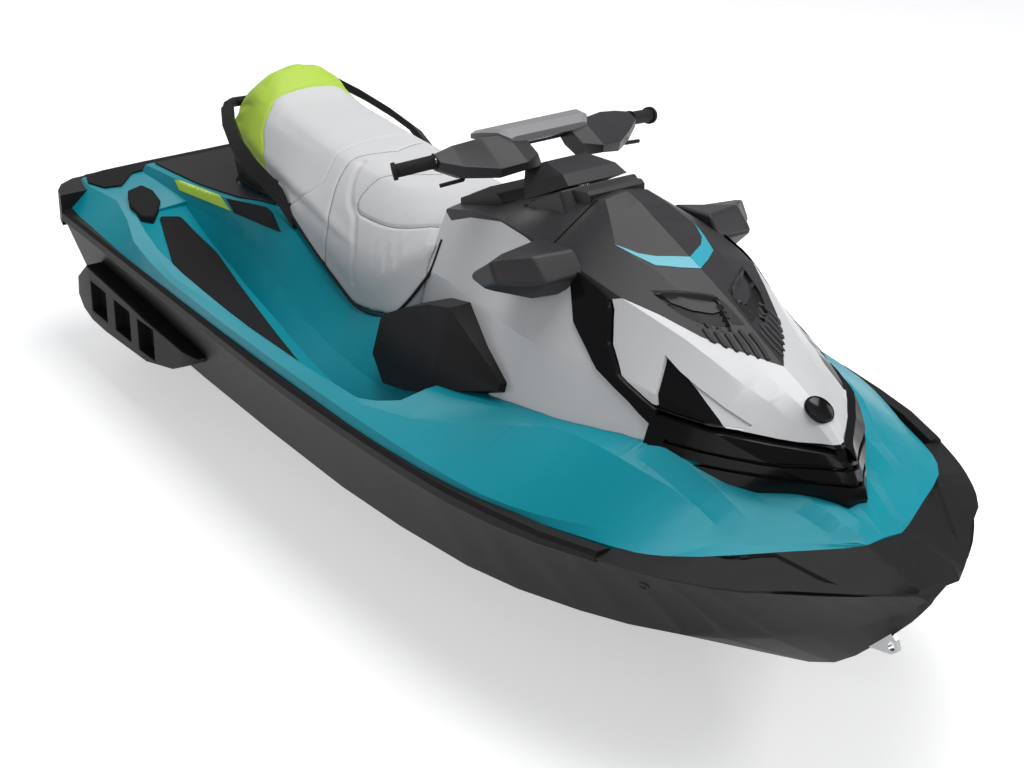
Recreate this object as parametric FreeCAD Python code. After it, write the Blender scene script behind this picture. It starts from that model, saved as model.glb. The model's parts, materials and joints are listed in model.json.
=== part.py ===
import FreeCAD, Part
import math
import os

V = FreeCAD.Vector

# Personal watercraft with a straddle seat for three, millimetres.
# +X port, +Y aft, +Z up. The origin is on the waterline, on the centre plane,
# MIDSHIPS forward of the platform's aft edge.
# Tables give each place as: half-breadth from the centre plane, station forward
# of the stern, and height above the keel.

WATERLINE = 250.0           # waterline above the keel
MIDSHIPS = 1450.0           # origin forward of the stern
FIT = 0.3                   # gap between seated pieces
PLAY = 6.0                  # gap round a piece that moves
RAIL = 12.0                 # how far the rub rail stands out of the hull side
RAIL_HALF = 20.0            # half the rub rail's height
MAT = 6.0                   # traction mats
LENGTH = 3318.0             # stern platform to bow bumper
BROAD = 700.0               # side prisms reach past the hull on both sides
TALL = 1300.0               # and plan prisms past the top

# Hull offsets: station, keel height, chine half-breadth, chine height, side half-breadth
HULL = [
    (90, 0, 470, 185, 560),
    (900, 0, 500, 180, 590),
    (1700, 0, 515, 186, 615),
    (2250, 6, 488, 205, 602),
    (2600, 38, 408, 228, 552),
    (2850, 92, 300, 252, 470),
    (3020, 165, 180, 290, 380),
    (3150, 280, 75, 345, 266),
    (3250, 385, 28, 420, 150),
    (3300, 452, 12, 465, 60),
]
HULL_RISE = 560.0           # the hull is drawn up to here, then trimmed at the sheer

# Sheer line in side view: station, height
SHEER = [(-60, 438), (900, 446), (1900, 457), (2700, 476), (3050, 485), (3400, 505)]

# Deck offsets: station, then half-breadth and height of the edge, crease, ridge
# and inner line, and the crown height
DECK = [
    (40, 508, 447, 462, 512, 394, 518, 250, 520, 520),
    (120, 552, 448, 476, 514, 400, 520, 262, 524, 524),
    (300, 574, 450, 466, 520, 400, 524, 280, 530, 530),
    (600, 584, 456, 555, 508, 510, 514, 300, 530, 530),
    (900, 592, 462, 588, 494, 572, 502, 300, 510, 510),
    (1500, 608, 474, 604, 498, 570, 506, 300, 506, 506),
    (1900, 610, 478, 602, 500, 562, 512, 420, 530, 535),
    (2220, 597, 481, 591, 502, 455, 556, 380, 585, 590),
    (2434, 568, 484, 564, 500, 362, 612, 300, 620, 622),
    (2590, 522, 487, 514, 502, 350, 626, 260, 648, 652),
    (2706, 480, 490, 458, 510, 325, 610, 220, 655, 660),
    (2845, 425, 496, 373, 518, 262, 566, 130, 615, 625),
    (2950, 345, 512, 280, 525, 225, 545, 70, 602, 606),
    (3040, 215, 524, 190, 531, 170, 538, 40, 585, 590),
    (3147, 52, 536, 50, 538, 48, 540, 10, 543, 544),
]

# Seat pedestal: station, then half-breadth and height of base, flank and ridge, crown height
PEDESTAL = [
    (120, 310, 500, 300, 520, 285, 545, 545),
    (434, 324, 480, 305, 530, 288, 572, 575),
    (690, 335, 430, 300, 520, 280, 606, 608),
    (900, 362, 400, 310, 510, 262, 640, 642),
    (1140, 400, 370, 330, 450, 258, 562, 600),
    (1350, 437, 355, 350, 420, 262, 505, 560),
    (1550, 445, 350, 370, 420, 280, 545, 570),
    (1900, 450, 345, 390, 430, 300, 600, 620),
    (2200, 420, 345, 390, 430, 300, 600, 620),
]

# Footwell: station, floor half-breadth outside, floor height
FOOTWELL = [
    (440, 470, 516),
    (700, 512, 448),
    (1050, 530, 408),
    (1330, 536, 382),
    (1860, 520, 366),
    (1960, 455, 366),
]
FOOTWELL_INNER = 200.0      # the well is cut in to here before the pedestal is added
GUNWALE_LEAN = 34.0         # how far the well's outer wall leans outwards
ABOVE = 900.0

# Cowl that carries the dash, side panels and nose: station, then half-breadth and
# height of base, waist, shoulder and brow, crown height
COWL = [
    (1640, 235, 570, 215, 700, 150, 850, 90, 860, 862),
    (1950, 310, 590, 268, 740, 188, 928, 100, 945, 950),
    (2200, 350, 560, 300, 740, 206, 930, 62, 1030, 1040),
    (2313, 350, 570, 292, 742, 204, 918, 114, 968, 1004),
    (2450, 338, 580, 275, 750, 190, 895, 92, 938, 953),
    (2620, 292, 620, 240, 745, 140, 845, 70, 873, 888),
    (2784, 222, 598, 196, 712, 98, 782, 45, 803, 813),
    (2900, 140, 580, 140, 670, 60, 735, 30, 757, 765),
    (2990, 60, 575, 66, 630, 30, 672, 14, 695, 700),
    (3057, 12, 570, 16, 590, 8, 608, 4, 614, 616),
]
COWL_LIFT = (0.0, 0.0, 0.6, 1.0)    # how much of a growth each corner takes upwards
COWL_SHELL = 22.0           # wall of the side panels and of the lid
LID_GAP = 8.0               # between the lid and the bin inside it

# Bow bumper ahead of the deck: station, foot half-breadth, top half-breadth and height, crown
BUMPER_TIP = [
    (3147, 260, 52, 536, 540),
    (3230, 172, 58, 526, 530),
    (3285, 105, 62, 519, 521),
    (LENGTH, 60, 50, 512, 513),
]
BUMPER_AFT = 2790.0         # the rub rail runs into the bumper here
BUMPER_LIP = 6.0            # upright lip at the bumper's foot

# Seat: station, then half-breadth and height of hem, bolster and edge, crown height
SEAT = [
    (484, 165, 640, 182, 752, 112, 836, 862),
    (530, 190, 640, 203, 762, 142, 862, 905),
    (590, 200, 640, 210, 766, 148, 880, 936),
    (632, 205, 640, 215, 764, 158, 850, 888),
    (700, 212, 640, 222, 750, 165, 825, 850),
    (850, 232, 630, 238, 735, 165, 816, 842),
    (1000, 250, 600, 252, 725, 162, 808, 834),
    (1150, 258, 550, 264, 700, 165, 803, 830),
    (1350, 266, 508, 272, 670, 162, 803, 828),
    (1500, 272, 530, 262, 690, 145, 812, 834),
    (1610, 262, 600, 225, 740, 120, 828, 846),
    (1700, 195, 760, 165, 810, 95, 842, 856),
]
SEAT_FOOT = 440.0           # seat solids are drawn down to here, then trimmed to the pedestal
SEAT_SEAM = 3.0             # gap between the seat's sections
# Seam between the two sections in side view: station, height
SEAT_SPLIT = [(860, 420), (920, 630), (1025, 722), (1090, 798), (1078, 1000)]
SEAT_AFT = 300.0
SEAT_END = 1800.0

RAIL_AFT = 130.0            # the rub rail runs from the stern bumper
RAIL_TAPER = 260.0          # and thins out over this length into the bow bumper

# Tub that lines the footwells
LINER = 8.0

# Stern bumper in plan: half-breadth, station
STERN_PLAN = [(430, 4), (482, 8), (532, 38), (562, 84), (574, RAIL_AFT - FIT), (430, RAIL_AFT - FIT)]
STERN_LOW = 410.0
STERN_TOP = 506.0
STERN_STRIP = (4, 60, 438, 508)     # aft, forward, bottom, top of the strip across the stern

# Engine block
ENGINE_AFT = 1150.0
ENGINE_LONG = 600.0
ENGINE_HALF = 200.0
ENGINE_FLOOR = 90.0
ENGINE_TALL = 420.0

# Jet pump, its recess, shaft, nozzle and reverse gate
PUMP_HEIGHT = 170.0
PUMP_BORE = 79.0
PUMP_WALL = 14.0
PUMP_FRONT = 430.0
PUMP_AFT = 215.0
FLANGE_WIDE = 22.0
FLANGE_THICK = 16.0
RECESS_HALF = 190.0
RECESS_TOP = 330.0
SHAFT = 12.0
SHAFT_AFT = 250.0           # the shaft ends in the pump's hub
HUB = 30.0
HUB_FRONT = 290.0
HUB_LONG = 90.0
HUB_TAIL = 50.0
IMPELLER = 77.0
IMPELLER_STATION = 350.0
IMPELLER_HUB = 28.0
IMPELLER_ENDS = (292.0, 400.0)
BLADES = 4
BLADE_CHORD = 86.0
BLADE_THICK = 4.0
BLADE_PITCH = 38.0
VANES = 5
VANE_CHORD = 60.0
VANE_THICK = 5.0
BOSS = 9.0
VENTURI_THROAT = 170.0      # the venturi runs parallel aft of here
VENTURI_AFT = 125.0
VENTURI_EXIT = 35.0
VENTURI_WALL = 5.0
NOZZLE_BORE = 53.0
NOZZLE_WALL = 5.0
NOZZLE_AFT = 80.0
NOZZLE_PIVOT = 138.0
GATE_PIVOT = 195.0
GATE_RADIUS = 140.0
GATE_WALL = 5.0
GATE_HALF = 92.0
GATE_EAR = 16.0
GATE_LOW = 35.0             # angles of the raised bucket above the jet
GATE_HIGH = 100.0
PIN = 6.0
PIN_PLAY = 0.08

# Ride plate and intake grate in the bottom
PLATE = 8.0
PLATE_AFT = 110.0
PLATE_HALF = 115.0
PLATE_HEIGHT = 34.0
PLATE_RIBS = (-90, -30, 30, 90)
RIB_TALL = 12.0
GRATE_AFT = 500.0
GRATE_FORWARD = 960.0
GRATE_HALF = 100.0
GRATE_RIM = 22.0
GRATE_END = 30.0
GRATE_BARS = (-60, -20, 20, 60)
GRATE_THICK = 14.0

# Grab handle: half-breadth, station, height of the bar behind the seat, then of the side blades
GRAB_TUBE = 14.0
GRAB_BAR = [(0, 446, 800), (140, 450, 808), (188, 508, 822)]
GRAB_BLADE = [(504, 188, 822), (580, 224, 798), (690, 256, 768), (800, 270, 742), (900, 263, 708),
              (960, 251, 674), (1010, 240, 628)]
BLADE_WIDE = 40.0
BLADE_DEEP = 18.0
BLADE_LEAN = 40.0           # the blade's face leans inwards from upright by its complement

# Region of the raised seat back in side view: station, height
BACK_SIDE = [(400, 704), (560, 704), (622, 738), (646, 800), (650, 1000), (400, 1000)]

# Cowl pieces in side view: station, height
LID_AFT = 2170.0
PANEL_FRONT = [(2285, 905), (2350, 820), (2470, 752), (2585, 712), (2650, 684), (2655, 540)]
PANEL_LOW = 480.0
PANEL_AFT = 1500.0
NOSE_REAR = [(2395, 915), (2440, 870), (2476, 805), (2536, 755), (2620, 728), (2660, 715)]
NOSE_FOOT = [(2660, 715), (2830, 712), (2992, 692)]
HOOD_SIDE = [(LID_AFT, 850), (2420, 850), (2800, 730), (2800, 1300), (LID_AFT, 1300)]
WEDGE = [(2600, 812), (2650, 790), (2846, 722), (2838, 713), (2652, 716)]
WEDGE_INSET = 6.0
BAND_PROUD = 8.0
BAND_TOP = (2289, 2389)
GRILLE_PROUD = 12.0
GRILLE_STEPS = (664, 634)   # tops of the grooves between its tiers
GROOVE = 9.0
GRILLE_SIDE = [(2665, 560), (3080, 560), (3080, 640), (2998, 684), (2830, 703), (2665, 706)]

# Cowl pieces in plan: station, half-breadth
HOOD_PLAN = [(2150, 215), (2412, 205), (2564, 140), (2634, 110), (2704, 68), (2792, 0)]
DASH_PLAN = [(1600, 140), (1690, 168), (1950, 190), (2100, 204), (2170, 206)]
DASH_LOW = 640.0

# Vents pressed into the hood, port side in plan: half-breadth, station
VENT_PLAN = [(22, 2572), (132, 2486), (116, 2562), (86, 2628), (44, 2668)]
VENT_DEEP = 12.0

# Storage bin under the hood
BIN_AFT = 2230.0
BIN_FORWARD = 2930.0
BIN_LOW = 520.0
BIN_WELLS = [(150, 2290, 2640, 532), (110, 2600, 2760, 560)]    # half, aft, forward, floor

# Hood hinge inside the nose
HINGE_STATION = 3005.0
HINGE_HEIGHT = 650.0
HINGE_HALF = 34.0
LUG_HALF = 14.0
LUG_ROUND = 13.0
# Lug's back from the pin to the nose panel: aft of the pin, above the pin
LUG_SIDE = [(16, 40), (45, 52), (45, 40), (26, -4)]

# Display pod on the dash in side view: station, height; and its screen
POD_SIDE = [(1652, 850), (1652, 876), (1762, 934), (1800, 930), (1822, 912), (1822, 850)]
POD_HALF = (116.0, 100.0)   # at its aft and forward ends
SCREEN_HALF = 92.0
SCREEN_ENDS = (0.10, 0.90)  # along the pod's sloping face
SCREEN_THICK = 3.0

# Hump on the dash that carries the steering column, just under the neck
HUMP_SIDE = [(1925, 900), (1925, 942), (2088, 1026), (2150, 1038), (2164, 1032), (2164, 900)]
HUMP_HALF = (108.0, 80.0)

# Speaker box: station, then half-breadth and height of the outer face's foot and top,
# and half-breadth of the inner face
SPEAKER = [
    (1630, 374, 500, 342, 598, 288),
    (1720, 398, 456, 333, 648, 274),
    (1830, 400, 480, 330, 696, 240),
    (1935, 394, 512, 331, 724, 240),
    (2060, 374, 560, 338, 672, 240),
    (2190, 352, 606, 343, 622, 240),
]

# Mirror housing, sections from root to tip: half-breadth, then stations and heights of the
# aft foot, aft top, crest, nose and belly
MIRROR = [
    (196, 2124, 852, 2130, 910, 2262, 944, 2346, 916, 2300, 848),
    (298, 2112, 848, 2116, 898, 2222, 918, 2284, 894, 2242, 842),
    (352, 2100, 856, 2102, 890, 2150, 896, 2184, 880, 2158, 852),
    (372, 2097, 864, 2098, 884, 2108, 886, 2114, 877, 2108, 864),
]
MIRROR_FACE = [(232, 2120, 862, 2124, 896), (298, 2113, 858, 2116, 890), (346, 2102, 864, 2103, 884)]
MIRROR_THICK = 3.0

# Sponson in side view: station, height
SPONSON = [(175, 200), (185, 262), (300, 340), (640, 322), (1000, 292), (985, 272), (871, 218),
           (711, 182), (420, 168), (230, 174)]
SPONSON_PLAN = [(440, 170), (560, 170), (584, 320), (592, 700), (584, 940), (566, 1005), (440, 1005)]
SPONSON_WINDOWS = [(330, 440), (500, 610), (665, 765)]
SPONSON_DEPTH = (550, 205, 300)     # windows: inner half-breadth, bottom, top

# Mats in plan, port side: half-breadth, station
MAT_PLAN = [(352, 490), (338, 690), (392, 1040), (434, 1330), (452, 1440), (500, 1400), (520, 1240),
            (520, 1000), (500, 760), (410, 470)]
PAD_PLAN = [(420, 250), (348, 238), (366, 330), (396, 420), (428, 482), (456, 482), (452, 380)]
PLATFORM_PLAN = [(0, 40), (448, 40), (470, 100), (450, 180), (404, 200), (330, 116), (0, 116)]
REAR_COVER_PLAN = [(0, 135), (262, 135), (266, 455), (258, 690), (236, 900), (226, 940), (0, 940)]

# Steering: column, bar, hand guards, pad and neck
TILT = 27.0                 # the steering column leans aft
COLUMN_STATION = 2035.0
COLUMN_HEIGHT = 985.0
# Neck round the column: lift, half-breadth, forward, aft
NECK = [(20, 116, -66, 94), (52, 106, -40, 98), (97, 80, 48, 112)]
NECK_TAPER = 0.74           # its front face's breadth
STEM = 14.0
STEM_LOW = -60.0
STEM_TOP = 58.0
BAR = 11.0
GRIP = 17.0
GRIP_FLANGE = 5.0
GRIP_COLLAR = 3.0
GRIP_START = 290.0
GRIP_END = 384.0
BAR_PATH = [(0, 1846, 1072), (100, 1846, 1072), (200, 1836, 1068), (GRIP_START, 1815, 1056),
            (GRIP_END, 1776, 1037)]
# Hand guards: half-breadth, then six corners in side view as station, height
GUARD = [
    (66, [(1822, 1062), (1866, 1090), (1926, 1066), (1944, 1040), (1900, 1026), (1850, 1040)]),
    (112, [(1792, 1066), (1858, 1102), (1952, 1060), (1950, 1040), (1900, 1024), (1830, 1034)]),
    (176, [(1762, 1062), (1846, 1104), (1934, 1050), (1926, 1024), (1880, 1012), (1806, 1020)]),
    (244, [(1748, 1044), (1814, 1086), (1880, 1052), (1872, 1020), (1836, 1010), (1784, 1016)]),
    (292, [(1778, 1046), (1812, 1074), (1842, 1062), (1838, 1040), (1818, 1032), (1792, 1034)]),
]
# Pad: station, half-breadth, then heights of underside, edge and crest
PAD = [(1764, 156, 1074, 1086, 1092), (1800, 150, 1078, 1098, 1106), (1850, 132, 1082, 1108, 1114),
       (1880, 112, 1086, 1098, 1102)]
PAD_EDGE = 14.0
LEVER = 5.0
LEVER_PATH = [(215, 1850, 1045), (244, 1864, 1014), (298, 1846, 1004)]

# Towing and tie-down eyes, drain plugs
EYE_HALF = 6.0
EYE_BORE = 11.0
BOW_EYE = (3198.0, 300.0)
BOW_EYE_SIDE = [(3120, 348), (3170, 346), (3210, 320), (3218, 296), (3200, 280), (3120, 262)]
STERN_EYE = (320.0, 70.0, 300.0)
STERN_EYE_PLAN = [(-32, 100), (-26, 66), (-12, 52), (12, 52), (26, 66), (32, 100)]
PLUG = (250.0, 130.0)
PLUG_RADIUS = 16.0
PLUG_FLANGE = 22.0


def at(half, station, height):
    return V(half, MIDSHIPS - station, height - WATERLINE)


def closed(points):
    return Part.makePolygon(points + [points[0]])


def ring(station, half_outline):
    """Closed outline across the craft from its port half, bottom to top."""
    port = [at(h, station, z) for h, z in half_outline]
    starboard = [at(-h, station, z) for h, z in reversed(half_outline) if h > 0]
    return closed(port + starboard)


def side_ring(station, outline):
    """Closed outline on the port side alone."""
    return closed([at(h, station, z) for h, z in outline])


def loft(wires):
    return Part.makeLoft(wires, True, True)


def slopes(table, column):
    """Slope of a column at each row, so that the curve through the rows has no overshoot."""
    steps = [(b[column] - a[column]) / (b[0] - a[0]) for a, b in zip(table, table[1:])]
    inner = [2 * a * b / (a + b) if a * b > 0 else 0.0 for a, b in zip(steps, steps[1:])]
    return [steps[0]] + inner + [steps[-1]]


def value(table, station, column):
    """A column of a table at any station, on the fair curve through its rows."""
    slope = slopes(table, column)
    for i, (low, high) in enumerate(zip(table, table[1:])):
        if low[0] <= station <= high[0]:
            span = high[0] - low[0]
            t = (station - low[0]) / span
            rise = high[column] - low[column]
            start, end = slope[i] * span, slope[i + 1] * span
            cubic = start + end - 2 * rise
            square = 3 * rise - 2 * start - end
            return low[column] + t * (start + t * (square + t * cubic))
    nearest = table[0] if station < table[0][0] else table[-1]
    return nearest[column]


def faired(table, parts):
    """The table with each gap between its rows split into equal parts on fair curves."""
    stations = [low[0] + (high[0] - low[0]) * i / parts
                for low, high in zip(table, table[1:]) for i in range(parts)]
    stations.append(table[-1][0])
    columns = range(1, len(table[0]))
    return [(s,) + tuple(value(table, s, c) for c in columns) for s in stations]


def side_prism(outline, half_width):
    """Outline given as station, height, extruded to both sides."""
    face = Part.Face(closed([at(half_width, s, z) for s, z in outline]))
    return face.extrude(V(-2 * half_width, 0, 0))


def plan_prism(outline, bottom, top):
    """Outline given as half-breadth, station, extruded upwards."""
    face = Part.Face(closed([at(h, s, bottom) for h, s in outline]))
    return face.extrude(V(0, 0, top - bottom))


def box(half_low, half_high, aft, forward, bottom, top):
    corner = at(half_low, forward, bottom)
    return Part.makeBox(half_high - half_low, forward - aft, top - bottom, corner)


def cylinder(radius, start, end):
    return Part.makeCylinder(radius, start.distanceToPoint(end), start, end - start)


def mirrored(shape):
    return shape.mirror(V(0, 0, 0), V(1, 0, 0))


def both(shape):
    return shape.fuse(mirrored(shape))


def sheer(station):
    return value(SHEER, station, 1)


def hull_side(station):
    return value(HULL, station, 4)


def below_sheer():
    stations = [-60 + 120 * i for i in range(29)]
    line = [(s, sheer(s)) for s in stations]
    return side_prism([(line[-1][0], -100), (line[0][0], -100)] + line, 900)


# hull and deck

def hull_form(parts=2):
    wires = []
    for station, keel, chine, chine_z, side in faired(HULL, parts):
        flare = (side - chine) / (sheer(station) - chine_z)
        top = side + flare * (HULL_RISE - sheer(station))
        wires.append(ring(station, [(0, keel), (chine, chine_z), (top, HULL_RISE)]))
    return loft(wires)


def deck_form(parts=2):
    wires = []
    for row in faired(DECK, parts):
        station = row[0]
        edge, crease, ridge, inner = row[1:3], row[3:5], row[5:7], row[7:9]
        bottom = sheer(station) - 30
        wires.append(ring(station, [(edge[0], bottom), edge, crease, ridge, inner, (0, row[9])]))
    return loft(wires)


def pedestal_form():
    wires = []
    for row in faired(PEDESTAL, 2):
        station = row[0]
        base, flank, ridge = row[1:3], row[3:5], row[5:7]
        wires.append(ring(station, [(base[0], 300), base, flank, ridge, (0, row[7])]))
    return loft(wires)


def footwell_cutter():
    wires = []
    for station, outer, floor in faired(FOOTWELL, 2):
        outline = [(FOOTWELL_INNER, floor), (outer, floor), (outer + GUNWALE_LEAN, floor + 150),
                   (outer + GUNWALE_LEAN, ABOVE), (FOOTWELL_INNER, ABOVE)]
        wires.append(side_ring(station, outline))
    return loft(wires)


def cowl_form(grow=0.0):
    wires = []
    for row in faired(COWL, 2):
        station = row[0]
        corners = zip(row[1:9:2], row[2:9:2], COWL_LIFT)
        outline = [(max(h + grow, 1), z + grow * lift) for h, z, lift in corners]
        wires.append(ring(station, outline + [(0, row[9] + grow)]))
    return loft(wires)


def tube(radius, points):
    """Round tube along straight runs, with ball corners."""
    shape = cylinder(radius, points[0], points[1])
    for start, end in zip(points[1:], points[2:]):
        shape = shape.fuse(Part.makeSphere(radius, start)).fuse(cylinder(radius, start, end))
    return shape


def layer(surface, outline, thickness, low=300.0, high=700.0):
    """A mat of even height on a surface, over an outline in plan."""
    raised = surface.translated(V(0, 0, thickness))
    return raised.common(plan_prism(outline, low, high)).cut(surface)


# hull, deck, rail

LOWER = below_sheer()
HULL_BODY = hull_form().common(LOWER)
DECK_BODY = deck_form()


def footwell_liner():
    """The moulded tub that lines each footwell below the sheer."""
    wires = []
    for station, outer, floor in faired(FOOTWELL, 2):
        side = outer + LINER
        wires.append(side_ring(station, [(0, floor - LINER), (side, floor - LINER),
                                         (side + GUNWALE_LEAN, floor + 150),
                                         (side + GUNWALE_LEAN, HULL_RISE), (0, HULL_RISE)]))
    return loft(wires).common(LOWER)


def make_deck():
    well = footwell_cutter()
    wells = well.fuse(mirrored(well))
    liner = footwell_liner()
    tub = liner.fuse(mirrored(liner))
    shell = DECK_BODY.cut(LOWER).fuse(tub)
    pedestal = pedestal_form().cut(LOWER.cut(tub))
    deck = shell.cut(wells).fuse(pedestal).cut(bin_space(LID_GAP))
    return deck.cut(engine_space()), tub


def make_hull(tub):
    hull = HULL_BODY.cut(tub).cut(pump_recess()).cut(intake_duct()).cut(engine_space())
    hull = hull.cut(cylinder(SHAFT + PLAY, at(0, PUMP_FRONT, PUMP_HEIGHT),
                             at(0, ENGINE_AFT + 1, PUMP_HEIGHT)))
    hull = hull.cut(ride_plate_form(FIT))
    return hull.cut(grate_outline(FIT))


def rub_rail():
    wires = []
    length = BUMPER_AFT - RAIL_AFT
    for i in range(19):
        station = RAIL_AFT + length * i / 18
        side, mid = hull_side(station), sheer(station)
        full = min(1.0, (BUMPER_AFT - station) / RAIL_TAPER)
        drop = BUMPER_LIP + (RAIL_HALF - BUMPER_LIP) * full
        wires.append(side_ring(station, [
            (side - 25, mid - drop), (side + RAIL - 4, mid - drop),
            (side + RAIL, mid - drop * 0.6), (side + RAIL, mid + RAIL_HALF / 2),
            (side + RAIL - 8, mid + RAIL_HALF), (side - 25, mid + RAIL_HALF)]))
    return both(loft(wires).cut(HULL_BODY).cut(DECK_BODY))


def bow_bumper():
    rows = []
    for station in (BUMPER_AFT, 2830, 2870, 2910, 2950, 3000, 3040, 3090):
        edge = value(DECK, station, 1) - 4, value(DECK, station, 2)
        rows.append((station, hull_side(station) + RAIL, edge[0], edge[1], edge[1]))
    wires = []
    for station, foot, top, top_z, crown in rows + faired(BUMPER_TIP, 2):
        low = sheer(station)
        wires.append(ring(station, [(0, low), (foot - 3, low), (foot, low + BUMPER_LIP),
                                    (top + 4, top_z), (0, crown)]))
    return loft(wires).cut(LOWER).cut(DECK_BODY)


def stern_bumper():
    aft, forward, low, top = STERN_STRIP
    corner = plan_prism(STERN_PLAN, STERN_LOW, STERN_TOP)
    strip = box(0, STERN_PLAN[0][0] + 10, aft, forward, low, top)
    return both(corner.fuse(strip).cut(DECK_BODY).cut(HULL_BODY))


# engine and jet pump


def engine_space():
    return box(-ENGINE_HALF - PLAY, ENGINE_HALF + PLAY, ENGINE_AFT - PLAY,
               ENGINE_AFT + ENGINE_LONG + PLAY, ENGINE_FLOOR, ENGINE_FLOOR + ENGINE_TALL + PLAY)


def engine():
    return box(-ENGINE_HALF, ENGINE_HALF, ENGINE_AFT, ENGINE_AFT + ENGINE_LONG,
               ENGINE_FLOOR, ENGINE_FLOOR + ENGINE_TALL)


def pump_recess():
    return box(-RECESS_HALF, RECESS_HALF, 0, PUMP_FRONT, -10, RECESS_TOP)


def circle_points(station, radius, height, count):
    angles = [2 * math.pi * (i + 0.5) / count for i in range(count)]
    return [at(radius * math.cos(a), station, height + radius * math.sin(a)) for a in angles]


def intake_duct():
    """Passage from the mouth in the bottom up to the pump."""
    throat = closed(circle_points(PUMP_FRONT - 1, PUMP_BORE, PUMP_HEIGHT, 8))
    half, aft, forward = GRATE_HALF - GRATE_RIM, GRATE_AFT + GRATE_END, GRATE_FORWARD - GRATE_END
    corners = [(half, forward - 30), (half * 0.6, forward), (-half * 0.6, forward), (-half, forward - 30),
               (-half, aft + 30), (-half * 0.6, aft), (half * 0.6, aft), (half, aft + 30)]
    return loft([throat, closed([at(h, s, -5) for h, s in corners])])


def grate_outline(grow):
    """The plate that follows the bottom round the intake mouth."""
    block = box(-GRATE_HALF - grow, GRATE_HALF + grow, GRATE_AFT - grow, GRATE_FORWARD + grow, -40, 90)
    return block.common(HULL_BODY).cut(HULL_BODY.translated(V(0, 0, GRATE_THICK + grow)))


def intake_grate():
    grate = grate_outline(0)
    rim = GRATE_HALF - GRATE_RIM
    edges = [-rim] + [h + side * 5 for h in GRATE_BARS for side in (-1, 1)] + [rim]
    for low, high in zip(edges[::2], edges[1::2]):
        grate = grate.cut(box(low, high, GRATE_AFT + GRATE_END, GRATE_FORWARD - GRATE_END, -50, 120))
    return grate


def ride_plate_form(grow):
    return box(-PLATE_HALF - grow, PLATE_HALF + grow, PLATE_AFT, GRATE_AFT - 10 + grow,
               PLATE_HEIGHT, PLATE_HEIGHT + PLATE + grow)


def ride_plate():
    plate = ride_plate_form(0)
    for h in PLATE_RIBS:
        plate = plate.fuse(box(h - 3, h + 3, PLATE_AFT + 20, PUMP_FRONT - 20,
                               PLATE_HEIGHT, PLATE_HEIGHT + PLATE + RIB_TALL))
    return plate


def venturi(radius, tip):
    """Cone from the pump's bore down to the throat, then straight to the exit."""
    aft, throat = at(0, PUMP_AFT, PUMP_HEIGHT), at(0, VENTURI_THROAT, PUMP_HEIGHT)
    cone = Part.makeCone(radius, tip, PUMP_AFT - VENTURI_THROAT, aft, V(0, 1, 0))
    return cone.fuse(cylinder(tip, throat, at(0, VENTURI_AFT, PUMP_HEIGHT)))


def pump_hub():
    start = at(0, HUB_FRONT, PUMP_HEIGHT)
    hub = Part.makeCylinder(HUB, HUB_LONG, start, V(0, 1, 0))
    hub = hub.fuse(Part.makeCone(HUB, 8, HUB_TAIL, start + V(0, HUB_LONG, 0), V(0, 1, 0)))
    for i in range(VANES):
        root = HUB - 10
        vane = Part.makeBox(PUMP_BORE + 4 - root, VANE_CHORD, VANE_THICK,
                            V(root, start.y + 10, -VANE_THICK / 2))
        vane.rotate(V(0, 0, 0), V(0, 1, 0), 360 * i / VANES + 18)
        hub = hub.fuse(vane.translated(V(0, 0, PUMP_HEIGHT - WATERLINE)))
    bearing = cylinder(SHAFT + PIN_PLAY, at(0, HUB_FRONT + 10, PUMP_HEIGHT),
                       at(0, SHAFT_AFT - 4, PUMP_HEIGHT))
    return hub.cut(bearing)


def pump_pins():
    """Pivot pins of the reverse gate and of the nozzle."""
    side = cylinder(PIN, at(PUMP_BORE - 9, GATE_PIVOT, PUMP_HEIGHT),
                    at(GATE_HALF + GATE_WALL + 4, GATE_PIVOT, PUMP_HEIGHT))
    pins = side.fuse(mirrored(side))
    for sign in (-1, 1):
        pins = pins.fuse(cylinder(
            PIN, at(0, NOZZLE_PIVOT, PUMP_HEIGHT + sign * (VENTURI_EXIT + 2)),
            at(0, NOZZLE_PIVOT, PUMP_HEIGHT + sign * (NOZZLE_BORE + NOZZLE_WALL + 3))))
    return pins


def pump_housing():
    front, aft = at(0, PUMP_FRONT - FIT, PUMP_HEIGHT), at(0, PUMP_AFT, PUMP_HEIGHT)
    boss = cylinder(BOSS, at(PUMP_BORE - 13, GATE_PIVOT, PUMP_HEIGHT),
                    at(GATE_HALF - 1, GATE_PIVOT, PUMP_HEIGHT))
    outer = cylinder(PUMP_BORE + PUMP_WALL, front, aft)
    outer = outer.fuse(cylinder(PUMP_BORE + PUMP_WALL + FLANGE_WIDE, front,
                                at(0, PUMP_FRONT - FLANGE_THICK, PUMP_HEIGHT)))
    outer = outer.fuse(venturi(PUMP_BORE + PUMP_WALL, VENTURI_EXIT + VENTURI_WALL)).fuse(both(boss))
    housing = outer.cut(cylinder(PUMP_BORE, front, aft)).cut(venturi(PUMP_BORE, VENTURI_EXIT))
    return housing.fuse(pump_hub()).fuse(pump_pins())


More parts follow.
